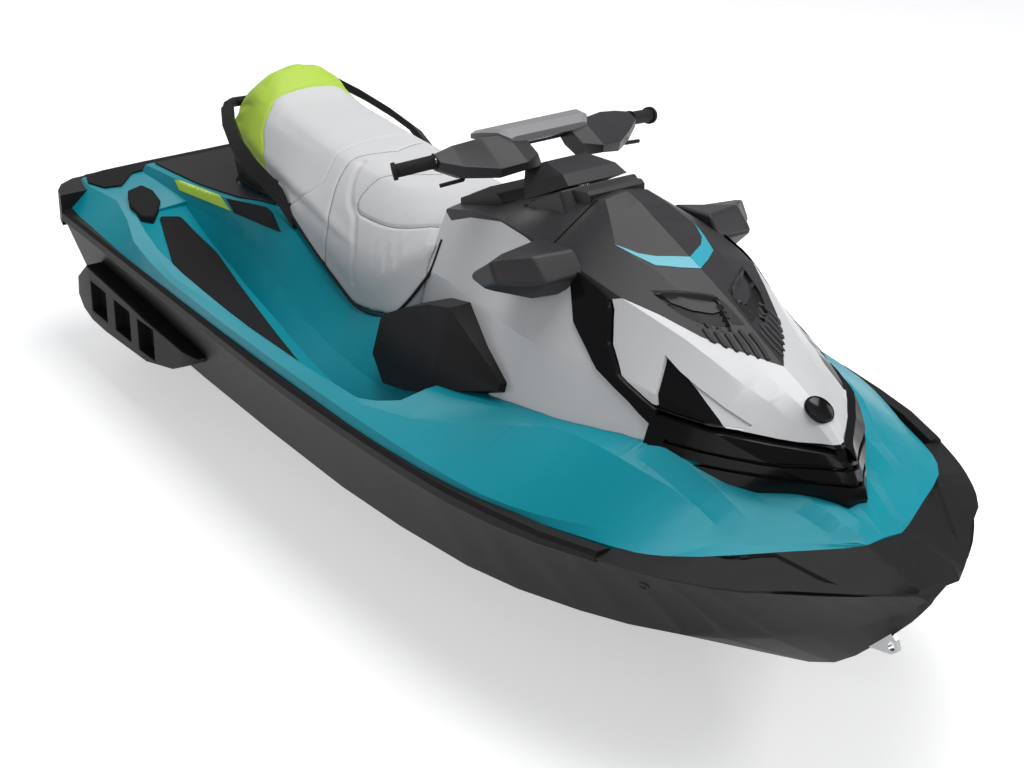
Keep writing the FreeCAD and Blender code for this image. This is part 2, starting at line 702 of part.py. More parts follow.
def impeller():
    aft, front = IMPELLER_ENDS
    hub = cylinder(IMPELLER_HUB, at(0, front, PUMP_HEIGHT), at(0, aft, PUMP_HEIGHT))
    root = IMPELLER_HUB - 8
    for i in range(BLADES):
        blade = Part.makeBox(IMPELLER - root, BLADE_CHORD, BLADE_THICK,
                             V(root, -BLADE_CHORD / 2, -BLADE_THICK / 2))
        blade.rotate(V(0, 0, 0), V(1, 0, 0), BLADE_PITCH)
        blade = blade.common(Part.makeCylinder(IMPELLER, 200, V(0, -100, 0), V(0, 1, 0)))
        blade.rotate(V(0, 0, 0), V(0, 1, 0), 360 * i / BLADES)
        hub = hub.fuse(blade.translated(at(0, IMPELLER_STATION, PUMP_HEIGHT)))
    return hub.cut(cylinder(SHAFT + FIT, at(0, front + 10, PUMP_HEIGHT), at(0, aft - 12, PUMP_HEIGHT)))


def drive_shaft():
    return cylinder(SHAFT, at(0, ENGINE_AFT - 2, PUMP_HEIGHT), at(0, SHAFT_AFT, PUMP_HEIGHT))


def nozzle():
    outer = NOZZLE_BORE + NOZZLE_WALL
    start, end = at(0, NOZZLE_PIVOT + 10, PUMP_HEIGHT), at(0, NOZZLE_AFT, PUMP_HEIGHT)
    shape = cylinder(outer, start, end)
    arm = box(outer - 8, outer + 6, NOZZLE_PIVOT - 10, NOZZLE_PIVOT + 10,
              PUMP_HEIGHT - 9, PUMP_HEIGHT + 9)
    shape = shape.fuse(arm).cut(cylinder(NOZZLE_BORE, start + V(0, -5, 0), end + V(0, 5, 0)))
    hole = cylinder(PIN + PIN_PLAY, at(0, NOZZLE_PIVOT, PUMP_HEIGHT - 2 * outer),
                    at(0, NOZZLE_PIVOT, PUMP_HEIGHT + 2 * outer))
    return shape.cut(hole)


def reverse_gate():
    centre = at(0, GATE_PIVOT, PUMP_HEIGHT)
    start = centre - V(GATE_HALF + GATE_WALL, 0, 0)
    wide = 2 * (GATE_HALF + GATE_WALL)
    drum = Part.makeCylinder(GATE_RADIUS + GATE_WALL, wide, start, V(1, 0, 0))
    hollow = Part.makeCylinder(GATE_RADIUS, wide, start, V(1, 0, 0))
    reach = 2 * GATE_RADIUS
    angles = [math.radians(a) for a in (GATE_LOW, (GATE_LOW + GATE_HIGH) / 2, GATE_HIGH)]
    wedge = [centre] + [centre + V(0, reach * math.cos(a), reach * math.sin(a)) for a in angles]
    sector = Part.Face(closed([V(start.x, p.y, p.z) for p in wedge])).extrude(V(wide, 0, 0))
    bucket = drum.cut(hollow).common(sector)
    cheeks = drum.common(sector).fuse(Part.makeCylinder(GATE_EAR, wide, start, V(1, 0, 0)))
    inside = Part.makeBox(2 * GATE_HALF, 4 * reach, 4 * reach,
                          centre - V(GATE_HALF, 2 * reach, 2 * reach))
    gate = bucket.fuse(cheeks.cut(inside))
    return gate.cut(cylinder(PIN + PIN_PLAY, centre - V(wide, 0, 0), centre + V(wide, 0, 0)))


# seat and its fittings

def seat_form(grow=0.0):
    wires = []
    for row in faired(SEAT, 2):
        station = row[0]
        hem, bolster, edge, crown = row[1:3], row[3:5], row[5:7], row[7]
        arch = edge[0] * 0.55, edge[1] + (crown - edge[1]) * 0.75
        outline = [(hem[0] - 30, SEAT_FOOT), hem, bolster, edge, arch, (0, crown)]
        wires.append(ring(station, [(h + grow if h else 0, z + grow) for h, z in outline]))
    return loft(wires)


def seats(deck):
    """The raised back, the passengers' section and the rider's section."""
    form = seat_form().cut(deck.translated(V(0, 0, FIT)))
    back_zone = side_prism(BACK_SIDE, BROAD)
    room = side_prism([(s + FIT, z - FIT) for s, z in BACK_SIDE], BROAD)
    aft = [(SEAT_AFT, SEAT_FOOT - 20), (SEAT_SPLIT[0][0], SEAT_FOOT - 20)]
    rear_zone = side_prism(aft + SEAT_SPLIT + [(SEAT_AFT, ABOVE + 100)], BROAD)
    seam = [(s + SEAT_SEAM, z) for s, z in SEAT_SPLIT]
    front_zone = side_prism(seam + [(SEAT_END, ABOVE + 100), (SEAT_END, SEAT_FOOT - 20),
                                    (seam[0][0], SEAT_FOOT - 20)], BROAD)
    rear = form.common(rear_zone).cut(room)
    front = form.common(front_zone).cut(cowl_form(FIT))
    return largest(form.common(back_zone)), largest(rear), largest(front)


def grab_handle(deck, seat_parts):
    """Bar behind the raised back that runs on as a leaning blade along each side."""
    lean = math.radians(BLADE_LEAN)
    along = BLADE_WIDE / 2 * math.cos(lean), -BLADE_WIDE / 2 * math.sin(lean)
    across = BLADE_DEEP / 2 * math.sin(lean), BLADE_DEEP / 2 * math.cos(lean)
    wires = []
    for station, half, height in GRAB_BLADE:
        corners = [(half + a * along[0] + b * across[0], height + a * along[1] + b * across[1])
                   for a, b in ((-1, -1), (1, -1), (1, 1), (-1, 1))]
        wires.append(side_ring(station, corners))
    bar = tube(GRAB_TUBE, [at(*p) for p in GRAB_BAR])
    handle = both(bar.fuse(loft(wires)))
    for piece in [deck] + list(seat_parts):
        handle = handle.cut(piece)
    return largest(handle)


# cowl


def bin_space(grow):
    wires = []
    for row in faired(COWL, 2):
        station = row[0]
        if BIN_AFT <= station <= BIN_FORWARD:
            waist, shoulder, brow = row[3:5], row[5:7], row[7:9]
            inset = COWL_SHELL + LID_GAP - grow
            wires.append(ring(station, [(waist[0] - inset, BIN_LOW - grow), (waist[0] - inset, waist[1]),
                                        (shoulder[0] - inset * 0.7, shoulder[1] - inset),
                                        (brow[0] * 0.6, brow[1] - inset - 4), (0, row[9] - inset - 4)]))
    return loft(wires)


def storage_bin():
    form = bin_space(0)
    for half, aft, forward, floor in BIN_WELLS:
        form = form.cut(box(-half, half, aft, forward, floor, TALL))
    return largest(form)


def largest(shape):
    return max(shape.Solids, key=lambda solid: solid.Volume)


def kept(shape, least=20000.0):
    """The shape without slivers that trimming left behind."""
    return Part.makeCompound([solid for solid in shape.Solids if solid.Volume > least])


def side_panel(shell, dash_zone, deck):
    outline = [(PANEL_AFT, PANEL_LOW), (PANEL_AFT, 1000), (PANEL_FRONT[0][0], 1000)]
    region = side_prism(outline + PANEL_FRONT + [(PANEL_FRONT[-1][0], PANEL_LOW)], BROAD)
    return kept(shell.common(region).cut(dash_zone).cut(hood_zone(PLAY)).cut(deck))


def hood_zone(grow=0.0):
    port = [(h + grow, s) for s, h in HOOD_PLAN]
    starboard = [(-h, s) for h, s in reversed(port) if h > 0]
    return plan_prism(port + starboard, DASH_LOW, TALL)


def make_hood(shell):
    """The black lid: a shell with two vents pressed into it."""
    plan = plan_prism([(-260, LID_AFT + PLAY), (260, LID_AFT + PLAY), (260, 3100), (-260, 3100)],
                      DASH_LOW, TALL)
    hood = shell.cut(cowl_form(-COWL_SHELL)).common(hood_zone()).common(plan)
    hood = hood.common(side_prism(HOOD_SIDE, BROAD))
    floor = cowl_form().translated(V(0, 0, -VENT_DEEP))
    return largest(hood.cut(both(plan_prism(VENT_PLAN, DASH_LOW, TALL).cut(floor))))


def hinge_line(length):
    centre = at(0, HINGE_STATION, HINGE_HEIGHT)
    return centre - V(length, 0, 0), centre + V(length, 0, 0)


def nose_panel(shell):
    region = side_prism(NOSE_REAR + NOSE_FOOT[1:] + [(3100, NOSE_FOOT[-1][1]), (3100, TALL),
                                                     (NOSE_REAR[0][0], TALL)], BROAD)
    nose = shell.common(region).cut(hood_zone()).cut(side_prism(WEDGE, BROAD))
    start, end = hinge_line(LUG_HALF)
    front = [(HINGE_STATION, HINGE_HEIGHT + side * LUG_ROUND) for side in (-1, 1)]
    back = [(HINGE_STATION - a, HINGE_HEIGHT + b) for a, b in LUG_SIDE]
    lug = side_prism(front + back, LUG_HALF)
    lug = lug.fuse(cylinder(LUG_ROUND, start, end))
    return largest(nose.fuse(lug).cut(cylinder(PIN + PIN_PLAY, *hinge_line(2 * LUG_HALF))))


def nose_inserts(shell):
    return kept(cowl_form(-WEDGE_INSET).common(shell).common(side_prism(WEDGE, BROAD)), 2000.0)


def front_grille(deck):
    """Three gloss tiers under the nose, slotted for the hinge's lug."""
    block = cowl_form(GRILLE_PROUD).common(side_prism(GRILLE_SIDE, BROAD)).cut(bin_space(LID_GAP))
    low, high = HINGE_HEIGHT - LUG_ROUND - PLAY, HINGE_HEIGHT + 4 * LUG_ROUND
    aft = HINGE_STATION - LUG_SIDE[1][0] - PLAY
    front = HINGE_STATION + LUG_ROUND + PLAY
    slot = side_prism([(aft, high), (aft, HINGE_HEIGHT + 30), (HINGE_STATION - 33, HINGE_HEIGHT - 10),
                       (HINGE_STATION - 15, low), (front, low), (front, high)], LUG_HALF + PLAY)
    for top in GRILLE_STEPS:
        groove = side_prism([(2700, top), (3090, top), (3090, top - GROOVE), (2700, top - GROOVE)], BROAD)
        block = block.cut(groove.cut(cowl_form(0)))
    return largest(block.cut(deck).cut(slot).cut(hinge_pin()))


def hinge_pin():
    return cylinder(PIN, *hinge_line(HINGE_HALF))


def cowl_band(deck):
    """Gloss band between the side panels and the nose."""
    outline = [(s, 1000) for s in BAND_TOP] + [(s - PLAY, z) for s, z in NOSE_REAR]
    outline += [(NOSE_REAR[-1][0] + 2, 700), (NOSE_REAR[-1][0] + 2, 545)]
    region = side_prism(outline + [(s + 1, z) for s, z in PANEL_FRONT[::-1]], BROAD)
    band = cowl_form(BAND_PROUD).cut(bin_space(LID_GAP)).common(region).cut(hood_zone(PLAY))
    return kept(band.cut(deck))


def speaker_box(deck):
    wires = []
    for station, foot, foot_z, top, top_z, inner in SPEAKER:
        wires.append(side_ring(station, [(inner, foot_z - 60), (foot, foot_z),
                                         (top, top_z), (inner, top_z)]))
    return largest(loft(wires).cut(deck).cut(cowl_form(FIT)))


def upright(half, outline):
    """Closed outline given as station, height on an upright plane along the craft."""
    return closed([at(half, s, z) for s, z in outline])


def mirror():
    wires = [upright(row[0], list(zip(row[1::2], row[2::2]))) for row in MIRROR]
    return largest(loft(wires).cut(cowl_form(BAND_PROUD + FIT)).cut(hood_zone(PLAY)))


def mirror_glass(housing):
    wires = [upright(half, [(low_s - MIRROR_THICK, low), (low_s + 4, low), (top_s + 4, top),
                            (top_s - MIRROR_THICK, top)])
             for half, low_s, low, top_s, top in MIRROR_FACE]
    return largest(loft(wires).cut(housing).cut(cowl_form(FIT)))


def sponson():
    inner, bottom, top = SPONSON_DEPTH
    form = side_prism(SPONSON, BROAD).common(plan_prism(SPONSON_PLAN, 100, 400))
    for aft, forward in SPONSON_WINDOWS:
        form = form.cut(box(inner, BROAD, aft, forward, bottom, top))
    return largest(form.cut(HULL_BODY))


def deck_mats(deck):
    plans = {"footwell_mats": MAT_PLAN, "step_pads": PAD_PLAN, "platform_mat": PLATFORM_PLAN,
             "rear_deck_cover": REAR_COVER_PLAN}
    seat = seat_form(FIT)
    return {name: kept(both(layer(deck, plan, MAT)).cut(seat), 2000.0) for name, plan in plans.items()}


# steering


def column_frame(shape):
    """Places a shape drawn round a vertical column on the leaning one."""
    turned = shape.copy()
    turned.rotate(V(0, 0, 0), V(1, 0, 0), -TILT)
    return turned.translated(at(0, COLUMN_STATION, COLUMN_HEIGHT))


def handlebar():
    port = [at(*p) for p in BAR_PATH]
    return both(tube(BAR, port))


def neck():
    wires = [closed([V(half, aft, lift), V(-half, aft, lift), V(-half * NECK_TAPER, forward, lift),
                     V(half * NECK_TAPER, forward, lift)]) for lift, half, forward, aft in NECK]
    return column_frame(loft(wires))


def stem(radius, low, top):
    return column_frame(cylinder(radius, V(0, 0, low), V(0, 0, top)))


def handlebar_cover(bar):
    guard = loft([upright(half, outline) for half, outline in GUARD])
    cover = neck().fuse(both(guard)).cut(bar)
    return largest(cover.cut(stem(STEM + PIN_PLAY, STEM_LOW, STEM_TOP + 4)))


def handlebar_pad(cover, bar):
    wires = [ring(station, [(0, low), (half, low), (half, edge), (half - PAD_EDGE, crest), (0, crest)])
             for station, half, low, edge, crest in PAD]
    return largest(loft(wires).cut(cover).cut(bar))


def grips(bar, cover):
    start, end = at(*BAR_PATH[-2]), at(*BAR_PATH[-1])
    along = (end - start).normalize()
    sleeve = cylinder(GRIP, start, end)
    sleeve = sleeve.fuse(cylinder(GRIP + GRIP_FLANGE, end - along * 6, end + along * 4))
    sleeve = sleeve.fuse(cylinder(GRIP + GRIP_COLLAR, start, start + along * 5))
    return both(sleeve.cut(cylinder(BAR, start - along * 50, end)).cut(bar).cut(cover))


def levers(cover):
    return both(largest(tube(LEVER, [at(*p) for p in LEVER_PATH]).cut(cover)))


# glovebox


def raised(outline, halves):
    """Block on the dash from its side view, narrower towards its forward end."""
    aft, forward = outline[0][0] - 1, outline[-1][0] + 1
    wide, narrow = halves
    spread = plan_prism([(-wide, aft), (wide, aft), (narrow, forward), (-narrow, forward)], DASH_LOW, TALL)
    return side_prism(outline, wide).common(spread)


def screen():
    """Display window that lies on the pod's sloping face."""
    (low_s, low), (top_s, top) = POD_SIDE[1:3]
    ends = [(low_s + (top_s - low_s) * t, low + (top - low) * t) for t in SCREEN_ENDS]
    return side_prism(ends + [(s - 1, z + SCREEN_THICK) for s, z in reversed(ends)], SCREEN_HALF)


# small fittings


def eye_lug(points, centre, depth):
    """Flat lug with a round hole through it."""
    unit = V(depth).normalize()
    hole = cylinder(EYE_BORE, centre - unit * 20, centre + unit * 20)
    return Part.Face(closed(points)).extrude(depth).cut(hole)


def bow_eye():
    points = [at(-EYE_HALF, s, z) for s, z in BOW_EYE_SIDE]
    return largest(eye_lug(points, at(0, *BOW_EYE), V(2 * EYE_HALF, 0, 0)).cut(HULL_BODY))


def stern_eyes():
    half, station, height = STERN_EYE
    points = [at(half + h, s, height - EYE_HALF) for h, s in STERN_EYE_PLAN]
    return both(largest(eye_lug(points, at(*STERN_EYE), V(0, 0, 2 * EYE_HALF)).cut(HULL_BODY)))


def drain_plugs():
    half, height = PLUG
    plug = cylinder(PLUG_RADIUS, at(half, 92, height), at(half, 80, height))
    plug = plug.fuse(Part.makeCylinder(PLUG_FLANGE, 5, at(half, 90, height), V(0, 1, 0)))
    return both(plug.cut(HULL_BODY))


def main():
    deck, tub = make_deck()
    back, rear, front = seats(deck)
    shell = cowl_form().cut(bin_space(LID_GAP))
    dash_port = [(h, s) for s, h in DASH_PLAN]
    dash_starboard = [(-h, s) for s, h in reversed(DASH_PLAN)]
    dash_zone = plan_prism(dash_port + dash_starboard, DASH_LOW, TALL)
    dash = largest(cowl_form().common(dash_zone).cut(bin_space(LID_GAP)))
    dash = dash.fuse(raised(POD_SIDE, POD_HALF)).fuse(raised(HUMP_SIDE, HUMP_HALF)).cut(front)
    bar = handlebar()
    cover = handlebar_cover(bar)
    housing = mirror()
    parts = {
        "hull": make_hull(tub), "deck": deck, "rub_rail": rub_rail(), "bow_bumper": bow_bumper(),
        "stern_bumper": stern_bumper(), "engine": engine(), "intake_grate": intake_grate(),
        "ride_plate": ride_plate(), "pump_housing": pump_housing(), "impeller": impeller(),
        "drive_shaft": drive_shaft(), "nozzle": nozzle(), "reverse_gate": reverse_gate(),
        "seat_back": back, "seat_rear": rear, "seat_front": front,
        "grab_handle": grab_handle(deck, (back, rear, front)),
        "storage_bin": storage_bin(), "side_panels": side_panel(shell, dash_zone, deck),
        "dash": dash, "display": screen().cut(dash), "hood_cover": make_hood(shell),
        "nose_panel": nose_panel(shell), "nose_inserts": nose_inserts(shell),
        "front_grille": front_grille(deck), "hinge_pin": hinge_pin(), "cowl_band": cowl_band(deck),
        "speaker_boxes": both(speaker_box(deck)), "mirrors": both(housing),
        "mirror_glass": both(mirror_glass(housing)), "sponsons": both(sponson()),
        "handlebar": bar, "handlebar_cover": cover, "handlebar_pad": handlebar_pad(cover, bar),
        "grips": grips(bar, cover), "levers": levers(cover),
        "steering_stem": stem(STEM, STEM_LOW, STEM_TOP).cut(dash),
        "bow_eye": bow_eye(), "stern_eyes": stern_eyes(), "drain_plugs": drain_plugs(),
    }
    parts.update(deck_mats(deck))
    os.makedirs("parts", exist_ok=True)
    for name, shape in parts.items():
        print(name, shape.isValid(), len(shape.Solids), len(shape.Faces), round(shape.Volume / 1e9, 5))
        shape.exportStep("parts/%s.step" % name)


main()
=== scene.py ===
import json
import math

import bmesh
import bpy
from bpy.props import FloatProperty, FloatVectorProperty, PointerProperty
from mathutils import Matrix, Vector
from mathutils.bvhtree import BVHTree
from mathutils.geometry import intersect_point_line
from mathutils.kdtree import KDTree

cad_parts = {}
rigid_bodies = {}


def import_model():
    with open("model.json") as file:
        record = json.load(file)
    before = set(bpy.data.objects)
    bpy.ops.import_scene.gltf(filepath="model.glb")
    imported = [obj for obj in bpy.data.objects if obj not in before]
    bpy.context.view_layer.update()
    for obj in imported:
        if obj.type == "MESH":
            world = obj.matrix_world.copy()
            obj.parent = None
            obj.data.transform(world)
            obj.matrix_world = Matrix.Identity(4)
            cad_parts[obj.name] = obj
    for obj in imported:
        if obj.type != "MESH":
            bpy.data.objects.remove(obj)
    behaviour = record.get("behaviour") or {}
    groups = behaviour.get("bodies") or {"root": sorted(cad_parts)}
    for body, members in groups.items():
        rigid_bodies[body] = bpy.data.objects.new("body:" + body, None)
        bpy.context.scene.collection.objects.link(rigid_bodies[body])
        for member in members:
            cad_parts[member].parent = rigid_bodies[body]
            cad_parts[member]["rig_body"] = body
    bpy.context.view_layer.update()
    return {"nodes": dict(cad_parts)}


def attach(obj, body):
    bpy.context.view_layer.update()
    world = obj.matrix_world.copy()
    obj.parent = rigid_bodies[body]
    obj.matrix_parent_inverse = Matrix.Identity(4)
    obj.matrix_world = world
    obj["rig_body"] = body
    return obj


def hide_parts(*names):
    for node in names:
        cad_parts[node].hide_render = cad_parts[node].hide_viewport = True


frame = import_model()

bl_info = {
    "name": "Personal watercraft dressing",
    "version": (1, 1, 0),
    "blender": (4, 5, 0),
    "location": "View3D > Sidebar > Watercraft",
    "description": "Finishes the solids of a straddle-seat personal watercraft",
    "category": "Object",
}

KEEL = -0.25                 # the keel below the waterline, which is z = 0
MIDSHIPS = 1.45              # the origin forward of the stern
SIDES = (1, -1)              # port, starboard
ACROSS, UP = Vector((1, 0, 0)), Vector((0, 0, 1))
JOIN = 1e-5                  # points of a solid nearer than this are one point
FINE_JOIN = 1e-6             # the same for trim
GRAIN_RISE, TREAD_RISE = 0.001, 0.0015
FLAT_ANGLE = 0.4             # degrees: faces nearer to flat than this become one
FACING, LOOSELY_FACING = 0.3, 0.2    # cosines: a face or point that looks the chosen way
POCKET_REACH = 0.03          # a pocket's floor lies this near to its outline's plane
MAT_THICK = 0.012            # a mat's upright corner edges are shorter than this
MAT_CORNER_ANGLE, UPRIGHT = 12, 0.8  # degrees, cosine
SHELL_WEIGHT, LOFT_WEIGHT = 60, 50   # how strongly the larger faces lead the shading
LOFT_SHARP = 25.0            # degrees: edges of a lofted piece sharper than this are rounded
FILM_REACH = 0.03            # how far a film looks for the surface under it
FILM_SOLID = 1.6             # a film's solid thickness for each unit of rise
HOLLOW = 1.5                 # how round the floor of a groove is


def at(half, station, height):
    """Row-frame point from half-breadth, station forward of the stern and height above the keel."""
    return Vector((half, MIDSHIPS - station, height + KEEL))


def rows_at(rows, side=1):
    """Points of (half-breadth, station, height) rows on one side."""
    return [at(side * half, station, height) for half, station, height in rows]


# ---------------------------------------------------------------- node groups

def new_group(name, inputs, outputs):
    """A node group with a Vector socket, then its other inputs and its outputs."""
    group = bpy.data.node_groups.new(name, "ShaderNodeTree")
    for label, kind, value in [("Vector", "NodeSocketVector", (0, 0, 0)), *inputs]:
        socket = group.interface.new_socket(label, in_out="INPUT", socket_type=kind)
        socket.default_value = value
    for label, kind in outputs:
        group.interface.new_socket(label, in_out="OUTPUT", socket_type=kind)
    return group, group.nodes.new("NodeGroupInput").outputs, group.nodes.new("NodeGroupOutput").inputs


def add(tree, kind, values=(), **settings):
    """A node with its settings, and values for its input sockets by name."""
    node = tree.nodes.new(kind)
    for key, value in settings.items():
        setattr(node, key, value)
    for key, value in dict(values).items():
        node.inputs[key].default_value = value
    return node


def join(tree, *links):
    for source, sink in links:
        tree.links.new(source, sink)


def moulded_grain():
    """Fine random texture of a moulded or spark-eroded surface."""
    group, start, end = new_group("Moulded grain", [
        ("Scale", "NodeSocketFloat", 900.0),
        ("Coarse share", "NodeSocketFloat", 0.3)], [("Height", "NodeSocketFloat")])
    fine = add(group, "ShaderNodeTexNoise", {"Detail": 2.0, "Roughness": 0.6})
    coarse = add(group, "ShaderNodeTexVoronoi", feature="F1")
    half = add(group, "ShaderNodeMath", {1: 0.45}, operation="MULTIPLY")
    blend = add(group, "ShaderNodeMix", data_type="FLOAT")
    join(group, (start["Vector"], fine.inputs["Vector"]),
         (start["Scale"], fine.inputs["Scale"]),
         (start["Vector"], coarse.inputs["Vector"]), (start["Scale"], half.inputs[0]),
         (half.outputs[0], coarse.inputs["Scale"]), (start["Coarse share"], blend.inputs["Factor"]),
         (fine.outputs["Fac"], blend.inputs["A"]), (coarse.outputs["Distance"], blend.inputs["B"]),
         (blend.outputs["Result"], end["Height"]))
    return group


def tone_drift():
    """Slow drift of a colour over the surface."""
    group, start, end = new_group("Tone drift", [
        ("Colour", "NodeSocketColor", (1, 1, 1, 1)), ("Scale", "NodeSocketFloat", 3.0),
        ("Amount", "NodeSocketFloat", 0.1)], [("Colour", "NodeSocketColor")])
    noise = add(group, "ShaderNodeTexNoise", {"Detail": 3.0})
    spread = add(group, "ShaderNodeMapRange", {"From Min": 0.3, "From Max": 0.7})
    low = add(group, "ShaderNodeMath", {0: 1.0}, operation="SUBTRACT")
    high = add(group, "ShaderNodeMath", {0: 1.0}, operation="ADD")
    tint = add(group, "ShaderNodeVectorMath", operation="SCALE")
    join(group, (start["Vector"], noise.inputs["Vector"]),
         (start["Scale"], noise.inputs["Scale"]),
         (start["Amount"], low.inputs[1]), (start["Amount"], high.inputs[1]),
         (noise.outputs["Fac"], spread.inputs["Value"]), (low.outputs[0], spread.inputs["To Min"]),
         (high.outputs[0], spread.inputs["To Max"]), (start["Colour"], tint.inputs[0]),
         (spread.outputs["Result"], tint.inputs["Scale"]), (tint.outputs[0], end["Colour"]))
    return group


def smudged_gloss():
    """Roughness that varies a little, as on a surface that has been wiped and splashed."""
    group, start, end = new_group("Smudged gloss", [
        ("Roughness", "NodeSocketFloat", 0.3),
        ("Spread", "NodeSocketFloat", 0.05)], [("Roughness", "NodeSocketFloat")])
    noise = add(group, "ShaderNodeTexNoise", {"Scale": 9.0, "Detail": 5.0, "Distortion": 0.6})
    centre = add(group, "ShaderNodeMath", {1: 0.5}, operation="SUBTRACT")
    swing = add(group, "ShaderNodeMath", operation="MULTIPLY")
    total = add(group, "ShaderNodeMath", operation="ADD", use_clamp=True)
    join(group, (start["Vector"], noise.inputs["Vector"]), (noise.outputs["Fac"], centre.inputs[0]),
         (centre.outputs[0], swing.inputs[0]), (start["Spread"], swing.inputs[1]),
         (swing.outputs[0], total.inputs[0]), (start["Roughness"], total.inputs[1]),
         (total.outputs[0], end["Roughness"]))
    return group


def ribbed():
    """Rounded ribs square to one axis of the vector."""
    group, start, end = new_group("Ribs", [
        ("Pitch scale", "NodeSocketFloat", 120.0)],
        [("Height", "NodeSocketFloat")])
    wave = add(group, "ShaderNodeTexWave", {"Distortion": 0.0}, wave_type="BANDS", bands_direction="X",
               wave_profile="SIN")
    join(group, (start["Vector"], wave.inputs["Vector"]),
         (start["Pitch scale"], wave.inputs["Scale"]),
         (wave.outputs["Fac"], end["Height"]))
    return group


def diamond_tread():
    """Two crossing sets of fine grooves, as cut into foam deck matting."""
    group, start, end = new_group("Diamond tread", [
        ("Pitch scale", "NodeSocketFloat", 40.0)],
        [("Height", "NodeSocketFloat")])
    least = add(group, "ShaderNodeMath", operation="MINIMUM")
    join(group, (least.outputs[0], end["Height"]))
    for index, angle in enumerate((32, -32)):
        turn = add(group, "ShaderNodeMapping", {"Rotation": (0, 0, math.radians(angle))})
        wave = add(group, "ShaderNodeTexWave", wave_type="BANDS", bands_direction="X", wave_profile="SIN")
        plateau = add(group, "ShaderNodeMath", {1: 3.0}, operation="MULTIPLY", use_clamp=True)
        join(group, (start["Vector"], turn.inputs["Vector"]),
             (turn.outputs["Vector"], wave.inputs["Vector"]),
             (start["Pitch scale"], wave.inputs["Scale"]), (wave.outputs["Fac"], plateau.inputs[0]),
             (plateau.outputs[0], least.inputs[index]))
    return group


GROUPS = {}


def group_node(tree, maker, values):
    if maker not in GROUPS:
        GROUPS[maker] = maker()
    node = add(tree, "ShaderNodeGroup", node_tree=GROUPS[maker])
    for key, value in values.items():
        node.inputs[key].default_value = value
    return node


SOCKETS = {"specular": "Specular IOR Level"}


def surface(name, colour, roughness, grain=900.0, depth=0.02, drift=0.06, coarse=0.3, smudge=0.04,
            pattern=None, pitch=100.0, relief=0.6, **shader):
    """A finish: drifting colour, uneven gloss and a fine bump, with a tread or ribs where it has them."""
    material = bpy.data.materials.new(name)
    material.use_nodes = True
    tree = material.node_tree
    principled = tree.nodes["Principled BSDF"]
    place = add(tree, "ShaderNodeTexCoord").outputs["Object"]
    tone = group_node(tree, tone_drift, {"Colour": (*colour, 1), "Amount": drift})
    gloss = group_node(tree, smudged_gloss, {"Roughness": roughness, "Spread": smudge})
    texture = group_node(tree, moulded_grain, {"Scale": grain, "Coarse share": coarse})
    bump = add(tree, "ShaderNodeBump", {"Strength": depth, "Distance": GRAIN_RISE})
    join(tree, (place, tone.inputs["Vector"]), (place, gloss.inputs["Vector"]),
         (place, texture.inputs["Vector"]),
         (tone.outputs["Colour"], principled.inputs["Base Color"]),
         (gloss.outputs["Roughness"], principled.inputs["Roughness"]),
         (texture.outputs["Height"], bump.inputs["Height"]),
         (bump.outputs["Normal"], principled.inputs["Normal"]))
    if pattern:
        tread = group_node(tree, pattern, {"Pitch scale": pitch})
        deep = add(tree, "ShaderNodeBump", {"Strength": relief, "Distance": TREAD_RISE})
        join(tree, (place, tread.inputs["Vector"]), (tread.outputs["Height"], deep.inputs["Height"]),
             (deep.outputs["Normal"], bump.inputs["Normal"]))
    for key, value in shader.items():
        principled.inputs[SOCKETS.get(key, key.replace("_", " ").title())].default_value = value
    return material


